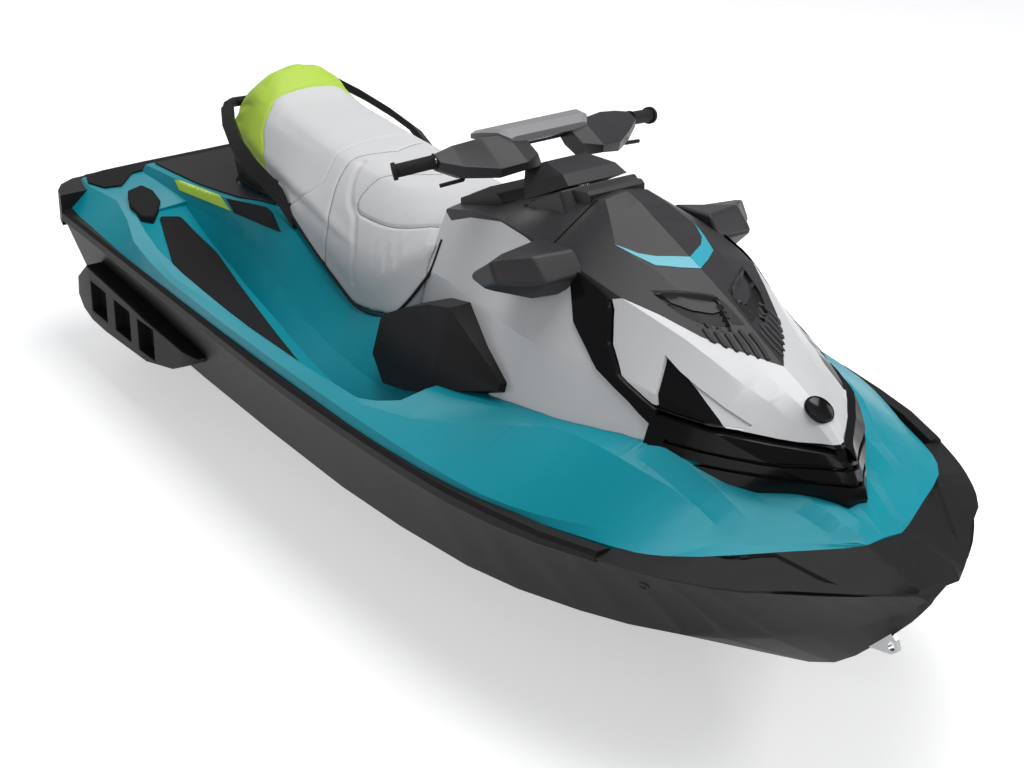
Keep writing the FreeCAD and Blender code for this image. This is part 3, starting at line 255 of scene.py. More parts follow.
SEAT_CLOTH = dict(grain=700, depth=0.35, coarse=0.8, drift=0.03, specular=0.4)
FINISHES = {
    "teal": dict(colour=(0.0025, 0.280, 0.352), roughness=0.42, grain=2500, depth=0.03, coat_weight=0.10,
                 coat_roughness=0.14, specular=0.16, drift=0.04),
    "black_gelcoat": dict(colour=(0.0115, 0.0110, 0.0115), roughness=0.46, depth=0.06,
                          specular=0.12, coat_weight=0.02, coat_roughness=0.3),
    "black_plastic": dict(colour=(0.0140, 0.0128, 0.0137), roughness=0.50, grain=1400, depth=0.25,
                          specular=0.14),
    "charcoal": dict(colour=(0.034, 0.0315, 0.0335), roughness=0.38, grain=1600, depth=0.15,
                     specular=0.22),
    "gloss_black": dict(colour=(0.0045, 0.0045, 0.005), roughness=0.16, depth=0.01, coat_weight=0.08,
                        coat_roughness=0.03, specular=0.16),
    "white_panel": dict(colour=(0.61, 0.615, 0.62), roughness=0.34, depth=0.02, drift=0.02, coat_weight=0.25,
                        coat_roughness=0.1),
    "bar_grey": dict(colour=(0.22, 0.22, 0.225), roughness=0.5, grain=1500, depth=0.12),
    "seat_grey": dict(colour=(0.60, 0.60, 0.605), roughness=0.60, **SEAT_CLOTH),
    "seat_lime": dict(colour=(0.44, 0.63, 0.07), roughness=0.56, **SEAT_CLOTH),
    "seam_thread": dict(colour=(0.20, 0.20, 0.205), roughness=0.7, grain=900, depth=0.4),
    "lime_film": dict(colour=(0.50, 0.74, 0.012), roughness=0.34, depth=0.02, coat_weight=0.2),
    "teal_film": dict(colour=(0.022, 0.36, 0.46), roughness=0.34, depth=0.02, coat_weight=0.2),
    "trim_rubber": dict(colour=(0.007, 0.007, 0.0075), roughness=0.55, grain=1600, depth=0.2,
                        specular=0.3),
    "mat": dict(colour=(0.0145, 0.013, 0.014), roughness=0.85, grain=500, depth=0.5, coarse=0.6,
                pattern=diamond_tread, pitch=46.0, specular=0.25),
    "cast": dict(colour=(0.42, 0.43, 0.44), roughness=0.45, grain=1200, depth=0.3, metallic=1.0),
    "steel": dict(colour=(0.62, 0.63, 0.64), roughness=0.25, depth=0.02, metallic=1.0),
    "glass": dict(colour=(0.010, 0.011, 0.013), roughness=0.08, depth=0.0, coat_weight=0.5),
    "mirror": dict(colour=(0.85, 0.87, 0.88), roughness=0.03, depth=0.0, metallic=1.0, smudge=0.01),
    "grip_rubber": dict(colour=(0.010, 0.0095, 0.010), roughness=0.66, grain=900, depth=0.3, pattern=ribbed,
                        pitch=62.0, relief=0.9, specular=0.3),
    "iron": dict(colour=(0.12, 0.12, 0.125), roughness=0.6, depth=0.3),
}
MATERIALS = {}


def finish_named(name):
    if name not in MATERIALS:
        MATERIALS[name] = surface(name, **FINISHES[name])
    return MATERIALS[name]


# ---------------------------------------------------------------- pieces

def link(mesh_or_bmesh, name):
    mesh = bpy.data.meshes.new(name)
    mesh_or_bmesh.to_mesh(mesh)
    mesh_or_bmesh.free()
    piece = bpy.data.objects.new(name, mesh)
    bpy.context.scene.collection.objects.link(piece)
    return piece


def body_of_node(node):
    return frame["nodes"][node]["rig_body"]


def finished(piece, finish, node, replaced=True):
    """Gives a piece its finish and lets it ride on that node's body; where it replaces the node, the node is
    hidden.
    """
    piece.data.materials.clear()
    piece.data.materials.append(finish_named(finish))
    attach(piece, body_of_node(node))
    if replaced:
        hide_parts(node)
    return piece


def baked(piece):
    """The piece with its modifiers applied."""
    graph = bpy.context.evaluated_depsgraph_get()
    mesh = bpy.data.meshes.new_from_object(piece.evaluated_get(graph), preserve_all_data_layers=True,
                                           depsgraph=graph)
    piece.modifiers.clear()
    old, piece.data = piece.data, mesh
    mesh.name = piece.name
    bpy.data.meshes.remove(old)
    return piece


def ring(points):
    """Each point with the next one, round to the start."""
    return list(zip(points, points[1:] + points[:1]))


def cut_through(work, place, normal, dist=JOIN):
    """Cuts everything along a plane."""
    bmesh.ops.bisect_plane(work, geom=work.verts[:] + work.edges[:] + work.faces[:], plane_co=place,
                           plane_no=normal, dist=dist)


def rounded(work, edges, radius, segments):
    """Rounds edges over."""
    bmesh.ops.bevel(work, geom=edges, offset=radius, offset_type="OFFSET", segments=segments, profile=0.5,
                    affect="EDGES", clamp_overlap=True, material=-1)


def sharp_edges(work, sharp):
    return [e for e in work.edges if len(e.link_faces) == 2 and e.calc_face_angle() > math.radians(sharp)]


def smoothed(piece, sharp):
    """Shades a piece smooth, apart from edges sharper than an angle in degrees."""
    piece.data.shade_smooth()
    piece.data.set_sharp_from_angle(angle=math.radians(sharp))


def tree_of(places):
    """Search tree of points."""
    tree = KDTree(len(places))
    for index, place in enumerate(places):
        tree.insert(place, index)
    tree.balance()
    return tree


def merged(node):
    """A copy of a CAD node's mesh with its loose triangles joined and its flat faces made whole."""
    work = bmesh.new()
    work.from_mesh(frame["nodes"][node].data)
    bmesh.ops.remove_doubles(work, verts=work.verts, dist=JOIN)
    bmesh.ops.dissolve_limit(work, angle_limit=math.radians(FLAT_ANGLE), verts=work.verts, edges=work.edges)
    return work


def parted(work, a, b, normal, reach=0.02):
    """Cuts the faces near a segment along the plane that stands on it."""
    work.faces.index_update()
    work.faces.ensure_lookup_table()
    tree = BVHTree.FromBMesh(work)
    found = tree.find_nearest_range((a + b) / 2, (b - a).length / 2 + reach)
    faces = [work.faces[index] for index in {entry[2] for entry in found}]
    edges = {edge for face in faces for edge in face.edges}
    verts = {vert for face in faces for vert in face.verts}
    bmesh.ops.bisect_plane(work, geom=[*faces, *edges, *verts], plane_co=a, plane_no=(b - a).cross(normal),
                           dist=JOIN)


def within(point, outline, normal):
    """Whether a point lies inside an outline seen along its normal."""
    across = normal.orthogonal().normalized()
    along = normal.cross(across)
    x, y = point.dot(across), point.dot(along)
    inside = False
    for a, b in ring(outline):
        x0, y0, x1, y1 = a.dot(across), a.dot(along), b.dot(across), b.dot(along)
        if (y0 > y) != (y1 > y) and x < x0 + (x1 - x0) * (y - y0) / (y1 - y0):
            inside = not inside
    return inside


def pocketed(work, outline, steps):
    """Sinks the surface inside an outline, by steps of sloping wall and depth."""
    normal = sum((a.cross(b) for a, b in ring(outline)), Vector()).normalized()
    centre = sum(outline, Vector()) / len(outline)
    if normal.dot(BVHTree.FromBMesh(work).find_nearest(centre)[1]) < 0:
        normal.negate()
    for a, b in ring(outline):
        parted(work, a, b, normal)
    work.normal_update()
    floor = [face for face in work.faces if face.normal.dot(normal) > FACING
             and abs((face.calc_center_median() - centre).dot(normal)) < POCKET_REACH
             and within(face.calc_center_median(), outline, normal)]
    for wide, depth in steps:
        bmesh.ops.inset_region(work, faces=floor, thickness=wide, depth=-depth, use_boundary=True,
                               use_even_offset=False)


def ridged(work, line, width, height):
    """Lifts a crease out of a surface, or sinks it, with a straight slope to each side."""
    tree = BVHTree.FromBMesh(work)
    facing = sum((tree.find_nearest(place)[1] for place in line), Vector()).normalized()
    pairs = list(zip(line, line[1:]))
    for a, b in pairs:
        shift = (b - a).cross(facing).normalized() * width
        for move in (Vector(), shift, -shift):
            parted(work, a + move, b + move, facing)
    work.normal_update()
    for vert in work.verts:
        distance = width
        for a, b in pairs:
            foot, share = intersect_point_line(vert.co, a, b)
            foot = a if share < 0 else b if share > 1 else foot
            distance = min(distance, (vert.co - foot).length)
        if distance < width and vert.normal.dot(facing) > LOOSELY_FACING:
            vert.co += facing * height * (1 - distance / width)


def shelled(work, name, node, finish, sharp, weight=SHELL_WEIGHT, replaced=True):
    """A piece from a bmesh, with its faceted sweeps shaded smooth."""
    piece = link(work, name)
    smoothed(piece, sharp)
    weigh = piece.modifiers.new("Face weights", "WEIGHTED_NORMAL")
    weigh.keep_sharp = True
    weigh.weight = weight
    return finished(baked(piece), finish, node, replaced)


def dressed(node, finish, radius, sharp=30.0, corner=0.0):
    """A copy of a CAD node with its edges rounded and its faceted sweeps shaded smooth.

    A flat mat has its upright corner edges rounded by corner first.
    """
    work = merged(node)
    for outline, steps in POCKETS.get(node, []):
        for side in SIDES:
            pocketed(work, rows_at(outline, side), steps)
    for line, width, height in RIDGES.get(node, []):
        for side in SIDES:
            ridged(work, rows_at(line, side), width, height)
    if corner:
        upright = [e for e in sharp_edges(work, MAT_CORNER_ANGLE) if e.calc_length() < MAT_THICK
                   and abs((e.verts[0].co - e.verts[1].co).normalized().z) > UPRIGHT]
        rounded(work, upright, corner, 5)
    rounded(work, sharp_edges(work, sharp), radius, 2)
    if node in TWO_TONE:
        second, planes, chosen = TWO_TONE[node]
        for place, normal in planes:
            cut_through(work, place, normal)
        other = work.copy()
        for half, wanted in ((work, False), (other, True)):
            unwanted = [face for face in half.faces if chosen(face.calc_center_median()) != wanted]
            bmesh.ops.delete(half, geom=unwanted, context="FACES")
        shelled(other, node + "_second_tone", node, second, sharp)
    return shelled(work, node + "_finished", node, finish, sharp)


def lofted(name, rows, finish, node, radius, replaced=True, sides=SIDES):
    """A solid drawn through closed rows of points on each side, capped, with rounded edges."""
    work = bmesh.new()
    for side in sides:
        loops = []
        for row in rows:
            verts = [work.verts.new(place) for place in rows_at(row, side)]
            loops.append([work.edges.new(pair) for pair in ring(verts)])
        for first, second in zip(loops, loops[1:]):
            bmesh.ops.bridge_loops(work, edges=first + second)
        for loop in (loops[0], loops[-1]):
            bmesh.ops.edgeloop_fill(work, edges=loop)
    bmesh.ops.recalc_face_normals(work, faces=work.faces)
    rounded(work, sharp_edges(work, LOFT_SHARP), radius, 3)
    return shelled(work, name, node, finish, LOFT_SHARP, LOFT_WEIGHT, replaced)


def skin(*pieces):
    """Search tree of the pieces' surfaces."""
    work = bmesh.new()
    for piece in pieces:
        work.from_mesh(piece.data)
    tree = BVHTree.FromBMesh(work)
    work.free()
    return tree


def stretched(points, step):
    """Points along a polyline at an even step, rounded at its corners."""
    for _ in range(2):
        points = [points[0]] + [p for a, b in zip(points, points[1:])
                                for p in (a.lerp(b, 0.25), a.lerp(b, 0.75))] + [points[-1]]
    run = [points[0]]
    for a, b in zip(points, points[1:]):
        count = max(1, round((b - a).length / step))
        run += [a.lerp(b, (i + 1) / count) for i in range(count)]
    return run


def laid(points, tree, lift=0.0, step=0.006):
    """A line drawn on a surface: its points drop to the nearest place, then rise by lift."""
    line = []
    for point in stretched(points, step):
        place, normal, _, _ = tree.find_nearest(point)
        line.append(place + normal * lift)
    return line


def cord_mesh(name, line, radius):
    """A round welt along a line, as a mesh."""
    curve = bpy.data.curves.new(name, "CURVE")
    curve.dimensions = "3D"
    spline = curve.splines.new("POLY")
    spline.points.add(len(line) - 1)
    for point, place in zip(spline.points, line):
        point.co = (*place, 1)
    curve.bevel_depth = radius
    curve.bevel_resolution = 2
    curve.use_fill_caps = True
    holder = bpy.data.objects.new(name, curve)
    mesh = bpy.data.meshes.new_from_object(holder)
    bpy.data.objects.remove(holder)
    return mesh


def welts(name, lines, radius, finish, node):
    """Alike welts along several lines, as one piece on that node's body."""
    work = bmesh.new()
    for line in lines:
        work.from_mesh(cord_mesh(name, line, radius))
    bmesh.ops.remove_doubles(work, verts=work.verts, dist=FINE_JOIN)
    bmesh.ops.recalc_face_normals(work, faces=work.faces)
    piece = link(work, name)
    piece.data.shade_smooth()
    return finished(piece, finish, node, replaced=False)


def grooved(piece, lines, width, depth):
    """Sinks a rounded channel along lines into a finely meshed piece."""
    tree = tree_of([place for line in lines for place in line])
    work = bmesh.new()
    work.from_mesh(piece.data)
    work.normal_update()
    for vert in work.verts:
        _, _, distance = tree.find(vert.co)
        if distance < width:
            vert.co -= vert.normal * depth * (0.5 + 0.5 * math.cos(math.pi * distance / width)) ** HOLLOW
    work.to_mesh(piece.data)
    work.free()


def inlays(name, outlines, tree, finish, node, thick, pitch):
    """Thin films or plates cut to outlines and laid on a surface, as one piece."""
    whole = bmesh.new()
    for outline in outlines:
        work = bmesh.new()
        face = work.faces.new([work.verts.new(point) for point in outline])
        work.normal_update()
        normal = face.normal.copy()
        centre = face.calc_center_median()
        across = normal.orthogonal().normalized()
        along = normal.cross(across)
        reach = max((point - centre).length for point in outline)
        for axis in (across, along):
            for i in range(-int(reach / pitch), int(reach / pitch) + 1):
                cut_through(work, centre + axis * i * pitch, axis, FINE_JOIN)
        outward = tree.find_nearest(centre)[1]
        if normal.dot(outward) < 0:
            normal.negate()
        for vert in work.verts:
            place = tree.ray_cast(vert.co + normal * FILM_REACH, -normal, 2 * FILM_REACH)[0]
            if place is None:
                place = tree.find_nearest(vert.co)[0]
            vert.co = place + normal * thick
        work.normal_update()
        if sum(f.normal.dot(outward) for f in work.faces) < 0:
            bmesh.ops.reverse_faces(work, faces=work.faces)
        bmesh.ops.solidify(work, geom=work.faces[:], thickness=FILM_SOLID * thick)
        mesh = bpy.data.meshes.new(name)
        work.to_mesh(mesh)
        work.free()
        whole.from_mesh(mesh)
        bpy.data.meshes.remove(mesh)
    piece = link(whole, name)
    smoothed(piece, 40)
    return finished(piece, finish, node, replaced=False)


def lathe(name, profile, centre, axis, finish, node, steps):
    """A turned fitting: its (radius, height) profile spun round an axis at a place."""
    work = bmesh.new()
    turn = Vector((0, 0, 1)).rotation_difference(Vector(axis).normalized())
    verts = [work.verts.new((radius, 0, height)) for radius, height in profile]
    edges = [work.edges.new(pair) for pair in zip(verts, verts[1:])]
    bmesh.ops.spin(work, geom=verts + edges, cent=(0, 0, 0), axis=(0, 0, 1), angle=math.tau, steps=steps,
                   use_merge=True)
    bmesh.ops.remove_doubles(work, verts=work.verts, dist=FINE_JOIN)
    bmesh.ops.recalc_face_normals(work, faces=work.faces)
    bmesh.ops.rotate(work, verts=work.verts, cent=(0, 0, 0), matrix=turn.to_matrix())
    bmesh.ops.translate(work, verts=work.verts, vec=centre)
    piece = link(work, name)
    smoothed(piece, 35)
    return finished(piece, finish, node, replaced=False)


# ---------------------------------------------------------------- shells

SHELLS = {  # node: finish, edge radius, and the sharp angle where it isn't 30
    "hull": ("black_gelcoat", 0.003, 22), "deck": ("teal", 0.0040, 8),
    "rub_rail": ("black_plastic", 0.0025, 25),
    "bow_bumper": ("black_plastic", 0.003, 9), "stern_bumper": ("black_plastic", 0.004, 25),
    "engine": ("iron", 0.002), "intake_grate": ("cast", 0.0015), "ride_plate": ("cast", 0.002),
    "pump_housing": ("cast", 0.0015), "impeller": ("steel", 0.0008),
    "drive_shaft": ("steel", 0.0008), "nozzle": ("cast", 0.0015), "reverse_gate": ("cast", 0.002),
    "grab_handle": ("black_plastic", 0.004),
    "storage_bin": ("black_plastic", 0.002), "side_panels": ("white_panel", 0.004, 9),
    "dash": ("charcoal", 0.004, 12), "display": ("glass", 0.0008),
    "hood_cover": ("charcoal", 0.0025, 10),
    "nose_panel": ("white_panel", 0.003, 18), "nose_inserts": ("gloss_black", 0.002, 20),
    "front_grille": ("gloss_black", 0.003, 20), "hinge_pin": ("steel", 0.0005),
    "cowl_band": ("gloss_black", 0.003, 25), "speaker_boxes": ("black_plastic", 0.004, 7),
    "sponsons": ("black_plastic", 0.003, 25), "handlebar": ("steel", 0.0008),
    "handlebar_cover": ("charcoal", 0.004, 18), "handlebar_pad": ("bar_grey", 0.004, 18),
    "grips": ("grip_rubber", 0.0015), "levers": ("black_plastic", 0.0015),
    "steering_stem": ("steel", 0.0008), "bow_eye": ("steel", 0.002),
    "stern_eyes": ("steel", 0.0015), "drain_plugs": ("black_plastic", 0.001),
    "footwell_mats": ("mat", 0.0012), "platform_mat": ("mat", 0.0012),
    "rear_deck_cover": ("black_plastic", 0.004, 20),
}
BUMPER_FLUTE = [(0.327, 2.962, 0.514), (0.172, 3.197, 0.506), (0.214, 3.045, 0.524)]
POCKETS = {  # node: outlines, each with its steps of sloping wall and depth
    "bow_bumper": [(BUMPER_FLUTE, ((0.006, 0.006),))],
}
RIDGES = {  # node: lines with the width of each slope and the height
    "deck": [([(0.251, 2.695, 0.640), (0.228, 2.787, 0.605), (0.215, 2.840, 0.586), (0.210, 2.901, 0.565)],
              0.060, 0.009),
             ([(0.127, 2.929, 0.600), (0.089, 2.973, 0.588), (0.070, 3.038, 0.575), (0.052, 3.110, 0.549)],
              0.040, 0.007)],
    "speaker_boxes": [([(0.354, 1.667, 0.573), (0.362, 1.850, 0.594), (0.364, 1.987, 0.605),
                        (0.350, 2.187, 0.610)], 0.070, 0.008)],
    "bow_bumper": [([(0.051, 3.140, 0.541), (0.054, 3.224, 0.527), (0.058, 3.300, 0.515)], 0.040, 0.004)],
}
SPLIT_BREADTH = 0.172        # the lamp-like insert is dark outboard of this
NOSE_LIP = 0.700             # the nose is dark below this, and beside the insert below the next
INSERT_FOOT = 0.722
TWO_TONE = {  # node: second finish, planes that part it, and where it applies
    "nose_inserts": ("white_panel", [(at(side * SPLIT_BREADTH, 0, 0), ACROSS) for side in SIDES],
                     lambda place: abs(place.x) < SPLIT_BREADTH),
    "nose_panel": ("gloss_black", [(at(side * SPLIT_BREADTH, 0, 0), ACROSS) for side in SIDES] +
                   [(at(0, 0, height), UP) for height in (NOSE_LIP, INSERT_FOOT)],
                   lambda place: place.z - KEEL < (INSERT_FOOT if abs(place.x) > SPLIT_BREADTH
                                                   else NOSE_LIP)),
}
MAT_CORNERS = {"footwell_mats": 0.022, "platform_mat": 0.020}
PIECES = {}


class WATERCRAFT_OT_shells(bpy.types.Operator):
    """Finish the moulded shells, castings and fittings"""
    bl_idname = "watercraft.shells"
    bl_label = "Shells and fittings"

    def execute(self, context):
        for node, settings in SHELLS.items():
            PIECES[node] = dressed(node, *settings, corner=MAT_CORNERS.get(node, 0.0))
        return {"FINISHED"}


# ---------------------------------------------------------------- mirrors, step pads and steering column

STEP_PAD = [  # half-breadth and station
    (0.431, 0.301), (0.377, 0.284), (0.362, 0.330), (0.372, 0.400), (0.400, 0.445), (0.440, 0.492),
    (0.468, 0.470), (0.462, 0.380)]
PAD_START = (0.284, 0.549)     # station and height of its rear edge
PAD_FALL = 0.11                # drop of its top for each metre forward
PAD_DEEP = 0.030
PANE_THICK, PANE_PITCH = 0.0008, 0.012
MIRROR_ROWS = [
    [(0.196, 2.124, 0.856), (0.196, 2.130, 0.944), (0.196, 2.268, 0.958), (0.196, 2.312, 0.912),
     (0.196, 2.278, 0.852)],
    [(0.300, 2.108, 0.852), (0.300, 2.110, 0.915), (0.300, 2.245, 0.955), (0.300, 2.305, 0.905),
     (0.300, 2.240, 0.846)],
    [(0.352, 2.098, 0.860), (0.352, 2.100, 0.884), (0.352, 2.190, 0.942), (0.352, 2.228, 0.890),
     (0.352, 2.170, 0.852)],
    [(0.373, 2.096, 0.866), (0.373, 2.098, 0.880), (0.373, 2.176, 0.936), (0.373, 2.205, 0.890),
     (0.373, 2.150, 0.858)],
]
MIRROR_PANE = [(0.232, 2.120, 0.864), (0.228, 2.124, 0.922), (0.290, 2.112, 0.906), (0.342, 2.100, 0.880),
               (0.342, 2.100, 0.866), (0.300, 2.108, 0.860)]
COLUMN_TILT = math.radians(27)
COLUMN_FOOT = (2.035, 0.985)   # station and height where the column's axis starts
COLLAR_ROWS = [  # lift, half-breadth, forward, aft
    (-0.060, 0.122, 0.080, 0.098), (0.014, 0.112, 0.063, 0.091)]
COLLAR_WAIST, COLLAR_BULGE = 0.8, 0.012  # share of the half-breadth, and reach forward, of its front


def on_column(lift, half, forward):
    """A (half-breadth, station, height) point from lift along the column and reach forward of it."""
    station, height = COLUMN_FOOT
    return (half, station - lift * math.sin(COLUMN_TILT) + forward * math.cos(COLUMN_TILT),
            height + lift * math.cos(COLUMN_TILT) + forward * math.sin(COLUMN_TILT))


class WATERCRAFT_OT_controls(bpy.types.Operator):
    """Shape the mirrors, the step pads and the collar under the handlebar's neck"""
    bl_idname = "watercraft.controls"
    bl_label = "Mirrors, step pads and collar"

    def execute(self, context):
        PIECES["mirrors"] = lofted("mirror_housings", MIRROR_ROWS, "charcoal", "mirrors", 0.009)
        housings = skin(PIECES["mirrors"])
        panes = inlays("mirror_panes", [rows_at(MIRROR_PANE, side) for side in SIDES], housings, "mirror",
                       "mirror_glass", PANE_THICK, PANE_PITCH)
        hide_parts("mirror_glass")
        rows = [[on_column(lift, half, forward),
                 on_column(lift, half * COLLAR_WAIST, forward + COLLAR_BULGE),
                 on_column(lift, -half * COLLAR_WAIST, forward + COLLAR_BULGE),
                 on_column(lift, -half, forward),
                 on_column(lift, -half, -aft), on_column(lift, half, -aft)]
                for lift, half, forward, aft in COLLAR_ROWS]
        station, height = PAD_START
        top = [(h, s, height - PAD_FALL * (s - station)) for h, s in STEP_PAD]
        lofted("step_pad_slabs", [[(h, s, z - PAD_DEEP) for h, s, z in top], top], "mat", "step_pads", 0.006)
        lofted("column_collar", rows, "charcoal", "dash", 0.006, replaced=False, sides=(1,))
        return {"FINISHED"}


# ---------------------------------------------------------------- seat

SEATS = {"seat_back": "seat_lime", "seat_rear": "seat_grey", "seat_front": "seat_grey"}
SKIRT_END = 0.865            # the seat's dark base shows behind this station, below the raised back
SEAT_VOXEL = 0.008
SMOOTHING_ROUNDS = 14
HEM_REACH = 0.05             # the cover is held back this near to its hem
HELD_TURN, HELD_BLEND = 0.45, 0.3    # and where it faces down this much, freed over the next
FREE_ENOUGH = 0.98
CLOTH_FRAMES = 20
CLOTH = dict(quality=5, mass=0.3, tension_stiffness=15, compression_stiffness=15, bending_stiffness=3.0,
             use_pressure=True, uniform_pressure_force=4.0, vertex_group_mass="held")
SEAM_WIDTH, FOLD_WIDTH, BORDER_WIDTH = 0.012, 0.022, 0.009
FOLD_SHARE, BORDER_SHARE = 1.2, 0.6  # of the seam depth
# Where the sections meet, in side view: station and height
BACK_LINE = [(0.380, 0.703), (0.775, 0.703), (0.735, 0.757), (0.691, 0.788), (0.676, 0.811), (0.660, 0.842),
             (0.648, 0.862), (0.646, 1.100)]
SPLIT_LINE = [(0.860, 0.400), (0.920, 0.630), (1.000, 0.690), (1.054, 0.733), (1.068, 0.755), (1.057, 0.786),
              (1.043, 0.813), (1.037, 0.830), (1.035, 1.100)]
# Half-breadth, station and height along each seam, rear to front
PANEL_SEAM = [(0, 1.150, 0.820), (0.070, 1.120, 0.822), (0.115, 1.105, 0.815), (0.167, 1.118, 0.801),
              (0.208, 1.138, 0.758), (0.251, 1.178, 0.710), (0.265, 1.192, 0.655), (0.262, 1.184, 0.567)]
FOLD = [(0.110, 1.150, 0.815), (0.176, 1.185, 0.791), (0.208, 1.225, 0.758), (0.222, 1.276, 0.738),
        (0.241, 1.300, 0.711), (0.268, 1.339, 0.664), (0.267, 1.345, 0.575)]
KNEE_CUP = [(0, 1.372, 0.828), (0.060, 1.320, 0.822), (0.107, 1.275, 0.818), (0.138, 1.261, 0.810),
            (0.173, 1.254, 0.793), (0.197, 1.253, 0.767), (0.216, 1.274, 0.744), (0.212, 1.341, 0.743),
            (0.208, 1.407, 0.746), (0.200, 1.465, 0.754), (0.182, 1.535, 0.773), (0.150, 1.600, 0.785)]
HEM = [(0.250, 0.985, 0.650), (0.256, 1.073, 0.612), (0.261, 1.179, 0.572), (0.266, 1.293, 0.533),
       (0.268, 1.350, 0.512), (0.271, 1.419, 0.516), (0.272, 1.450, 0.521), (0.274, 1.500, 0.533),
       (0.271, 1.550, 0.547), (0.263, 1.612, 0.600), (0.236, 1.658, 0.672), (0.222, 1.673, 0.702),
       (0.204, 1.675, 0.745), (0.187, 1.675, 0.785)]


def largest_island(work):
    """Deletes all but the biggest connected shell."""
    left = set(work.verts)
    islands = []
    while left:
        reached = [left.pop()]
        for vert in reached:
            for edge in vert.link_edges:
                other = edge.other_vert(vert)
                if other in left:
                    left.remove(other)
                    reached.append(other)
        islands.append(reached)
    islands.sort(key=len)
    bmesh.ops.delete(work, geom=[vert for island in islands[:-1] for vert in island], context="VERTS")


def stuffed(name, nodes, inset, cap):
    """One cushion from several solids: remeshed, swollen by cloth under pressure and held at its base."""
    work = bmesh.new()
    for node in nodes:
        work.from_mesh(frame["nodes"][node].data)
    bmesh.ops.remove_doubles(work, verts=work.verts, dist=JOIN)
    piece = link(work, name)
    remesh = piece.modifiers.new("Even mesh", "REMESH")
    remesh.mode, remesh.voxel_size, remesh.use_smooth_shade = "VOXEL", SEAT_VOXEL, True
    baked(piece)
    work = bmesh.new()
    work.from_mesh(piece.data)
    largest_island(work)
    hem = tree_of([place for side in SIDES for place in stretched(rows_at(HEM, side), 0.01)])
    for _ in range(SMOOTHING_ROUNDS):
        bmesh.ops.smooth_vert(work, verts=work.verts, factor=0.5, use_axis_x=True, use_axis_y=True,
                              use_axis_z=True)
    work.normal_update()
    free = {}
    for vert in work.verts:
        near = min(1.0, hem.find(vert.co)[2] / HEM_REACH)
        down = min(1.0, max(0.0, (vert.normal.z + HELD_TURN) / HELD_BLEND))
        free[vert.index] = near * down
    for vert in work.verts:
        vert.co -= vert.normal * inset * free[vert.index]
    work.to_mesh(piece.data)
    work.free()
    held = piece.vertex_groups.new(name="held")
    for index, freedom in free.items():
        if freedom < FREE_ENOUGH:
            held.add([index], 1.0 - freedom, "REPLACE")
    start = [v.co.copy() for v in piece.data.vertices]
    cloth = piece.modifiers.new("Stuffing", "CLOTH")
    for key, value in CLOTH.items():
        setattr(cloth.settings, key, value)
    cloth.settings.effector_weights.gravity = 0
    cloth.point_cache.frame_start, cloth.point_cache.frame_end = 1, CLOTH_FRAMES
    for step in range(1, CLOTH_FRAMES + 1):
        bpy.context.scene.frame_set(step)
        bpy.context.view_layer.update()
    baked(piece)
    bpy.context.scene.frame_set(1)
    for vert, origin in zip(piece.data.vertices, start):
        move = vert.co - origin
        if move.length > cap:
            vert.co = origin + move * (cap / move.length)
    finer = piece.modifiers.new("Finer", "SUBSURF")
    finer.levels = finer.render_levels = 1
    return baked(piece)


def walls(line):
    """Planes square to the side view, one through each step of a section line: place and normal."""
    places = [at(0, *point) for point in line]
    return [(a, (b - a).cross(ACROSS).normalized()) for a, b in zip(places, places[1:])]


def sliced(piece, planes):
    """Cuts a piece along planes, and gives its mesh back open for more work."""
    work = bmesh.new()
    work.from_mesh(piece.data)
    for place, normal in planes:
        cut_through(work, place, normal)
    work.to_mesh(piece.data)
    return work


def beyond(line, point, open_ended):
    """Whether a point lies on the stern side of a section line."""
    station, height = MIDSHIPS - point.y, point.z - KEEL
    run = line if open_ended else line[1:]
    for (s0, z0), (s1, z1) in zip(run, run[1:]):
        if min(z0, z1) <= height < max(z0, z1):
            return station < s0 + (s1 - s0) * (height - z0) / (z1 - z0)
    return False


def section_of(point):
    if point.z - KEEL > BACK_LINE[0][1] and beyond(BACK_LINE, point, False):
        return "seat_back"
    if point.z - KEEL < BACK_LINE[0][1] and point.y > MIDSHIPS - SKIRT_END:
        return "seat_skirt"
    return "seat_rear" if beyond(SPLIT_LINE, point, True) else "seat_front"


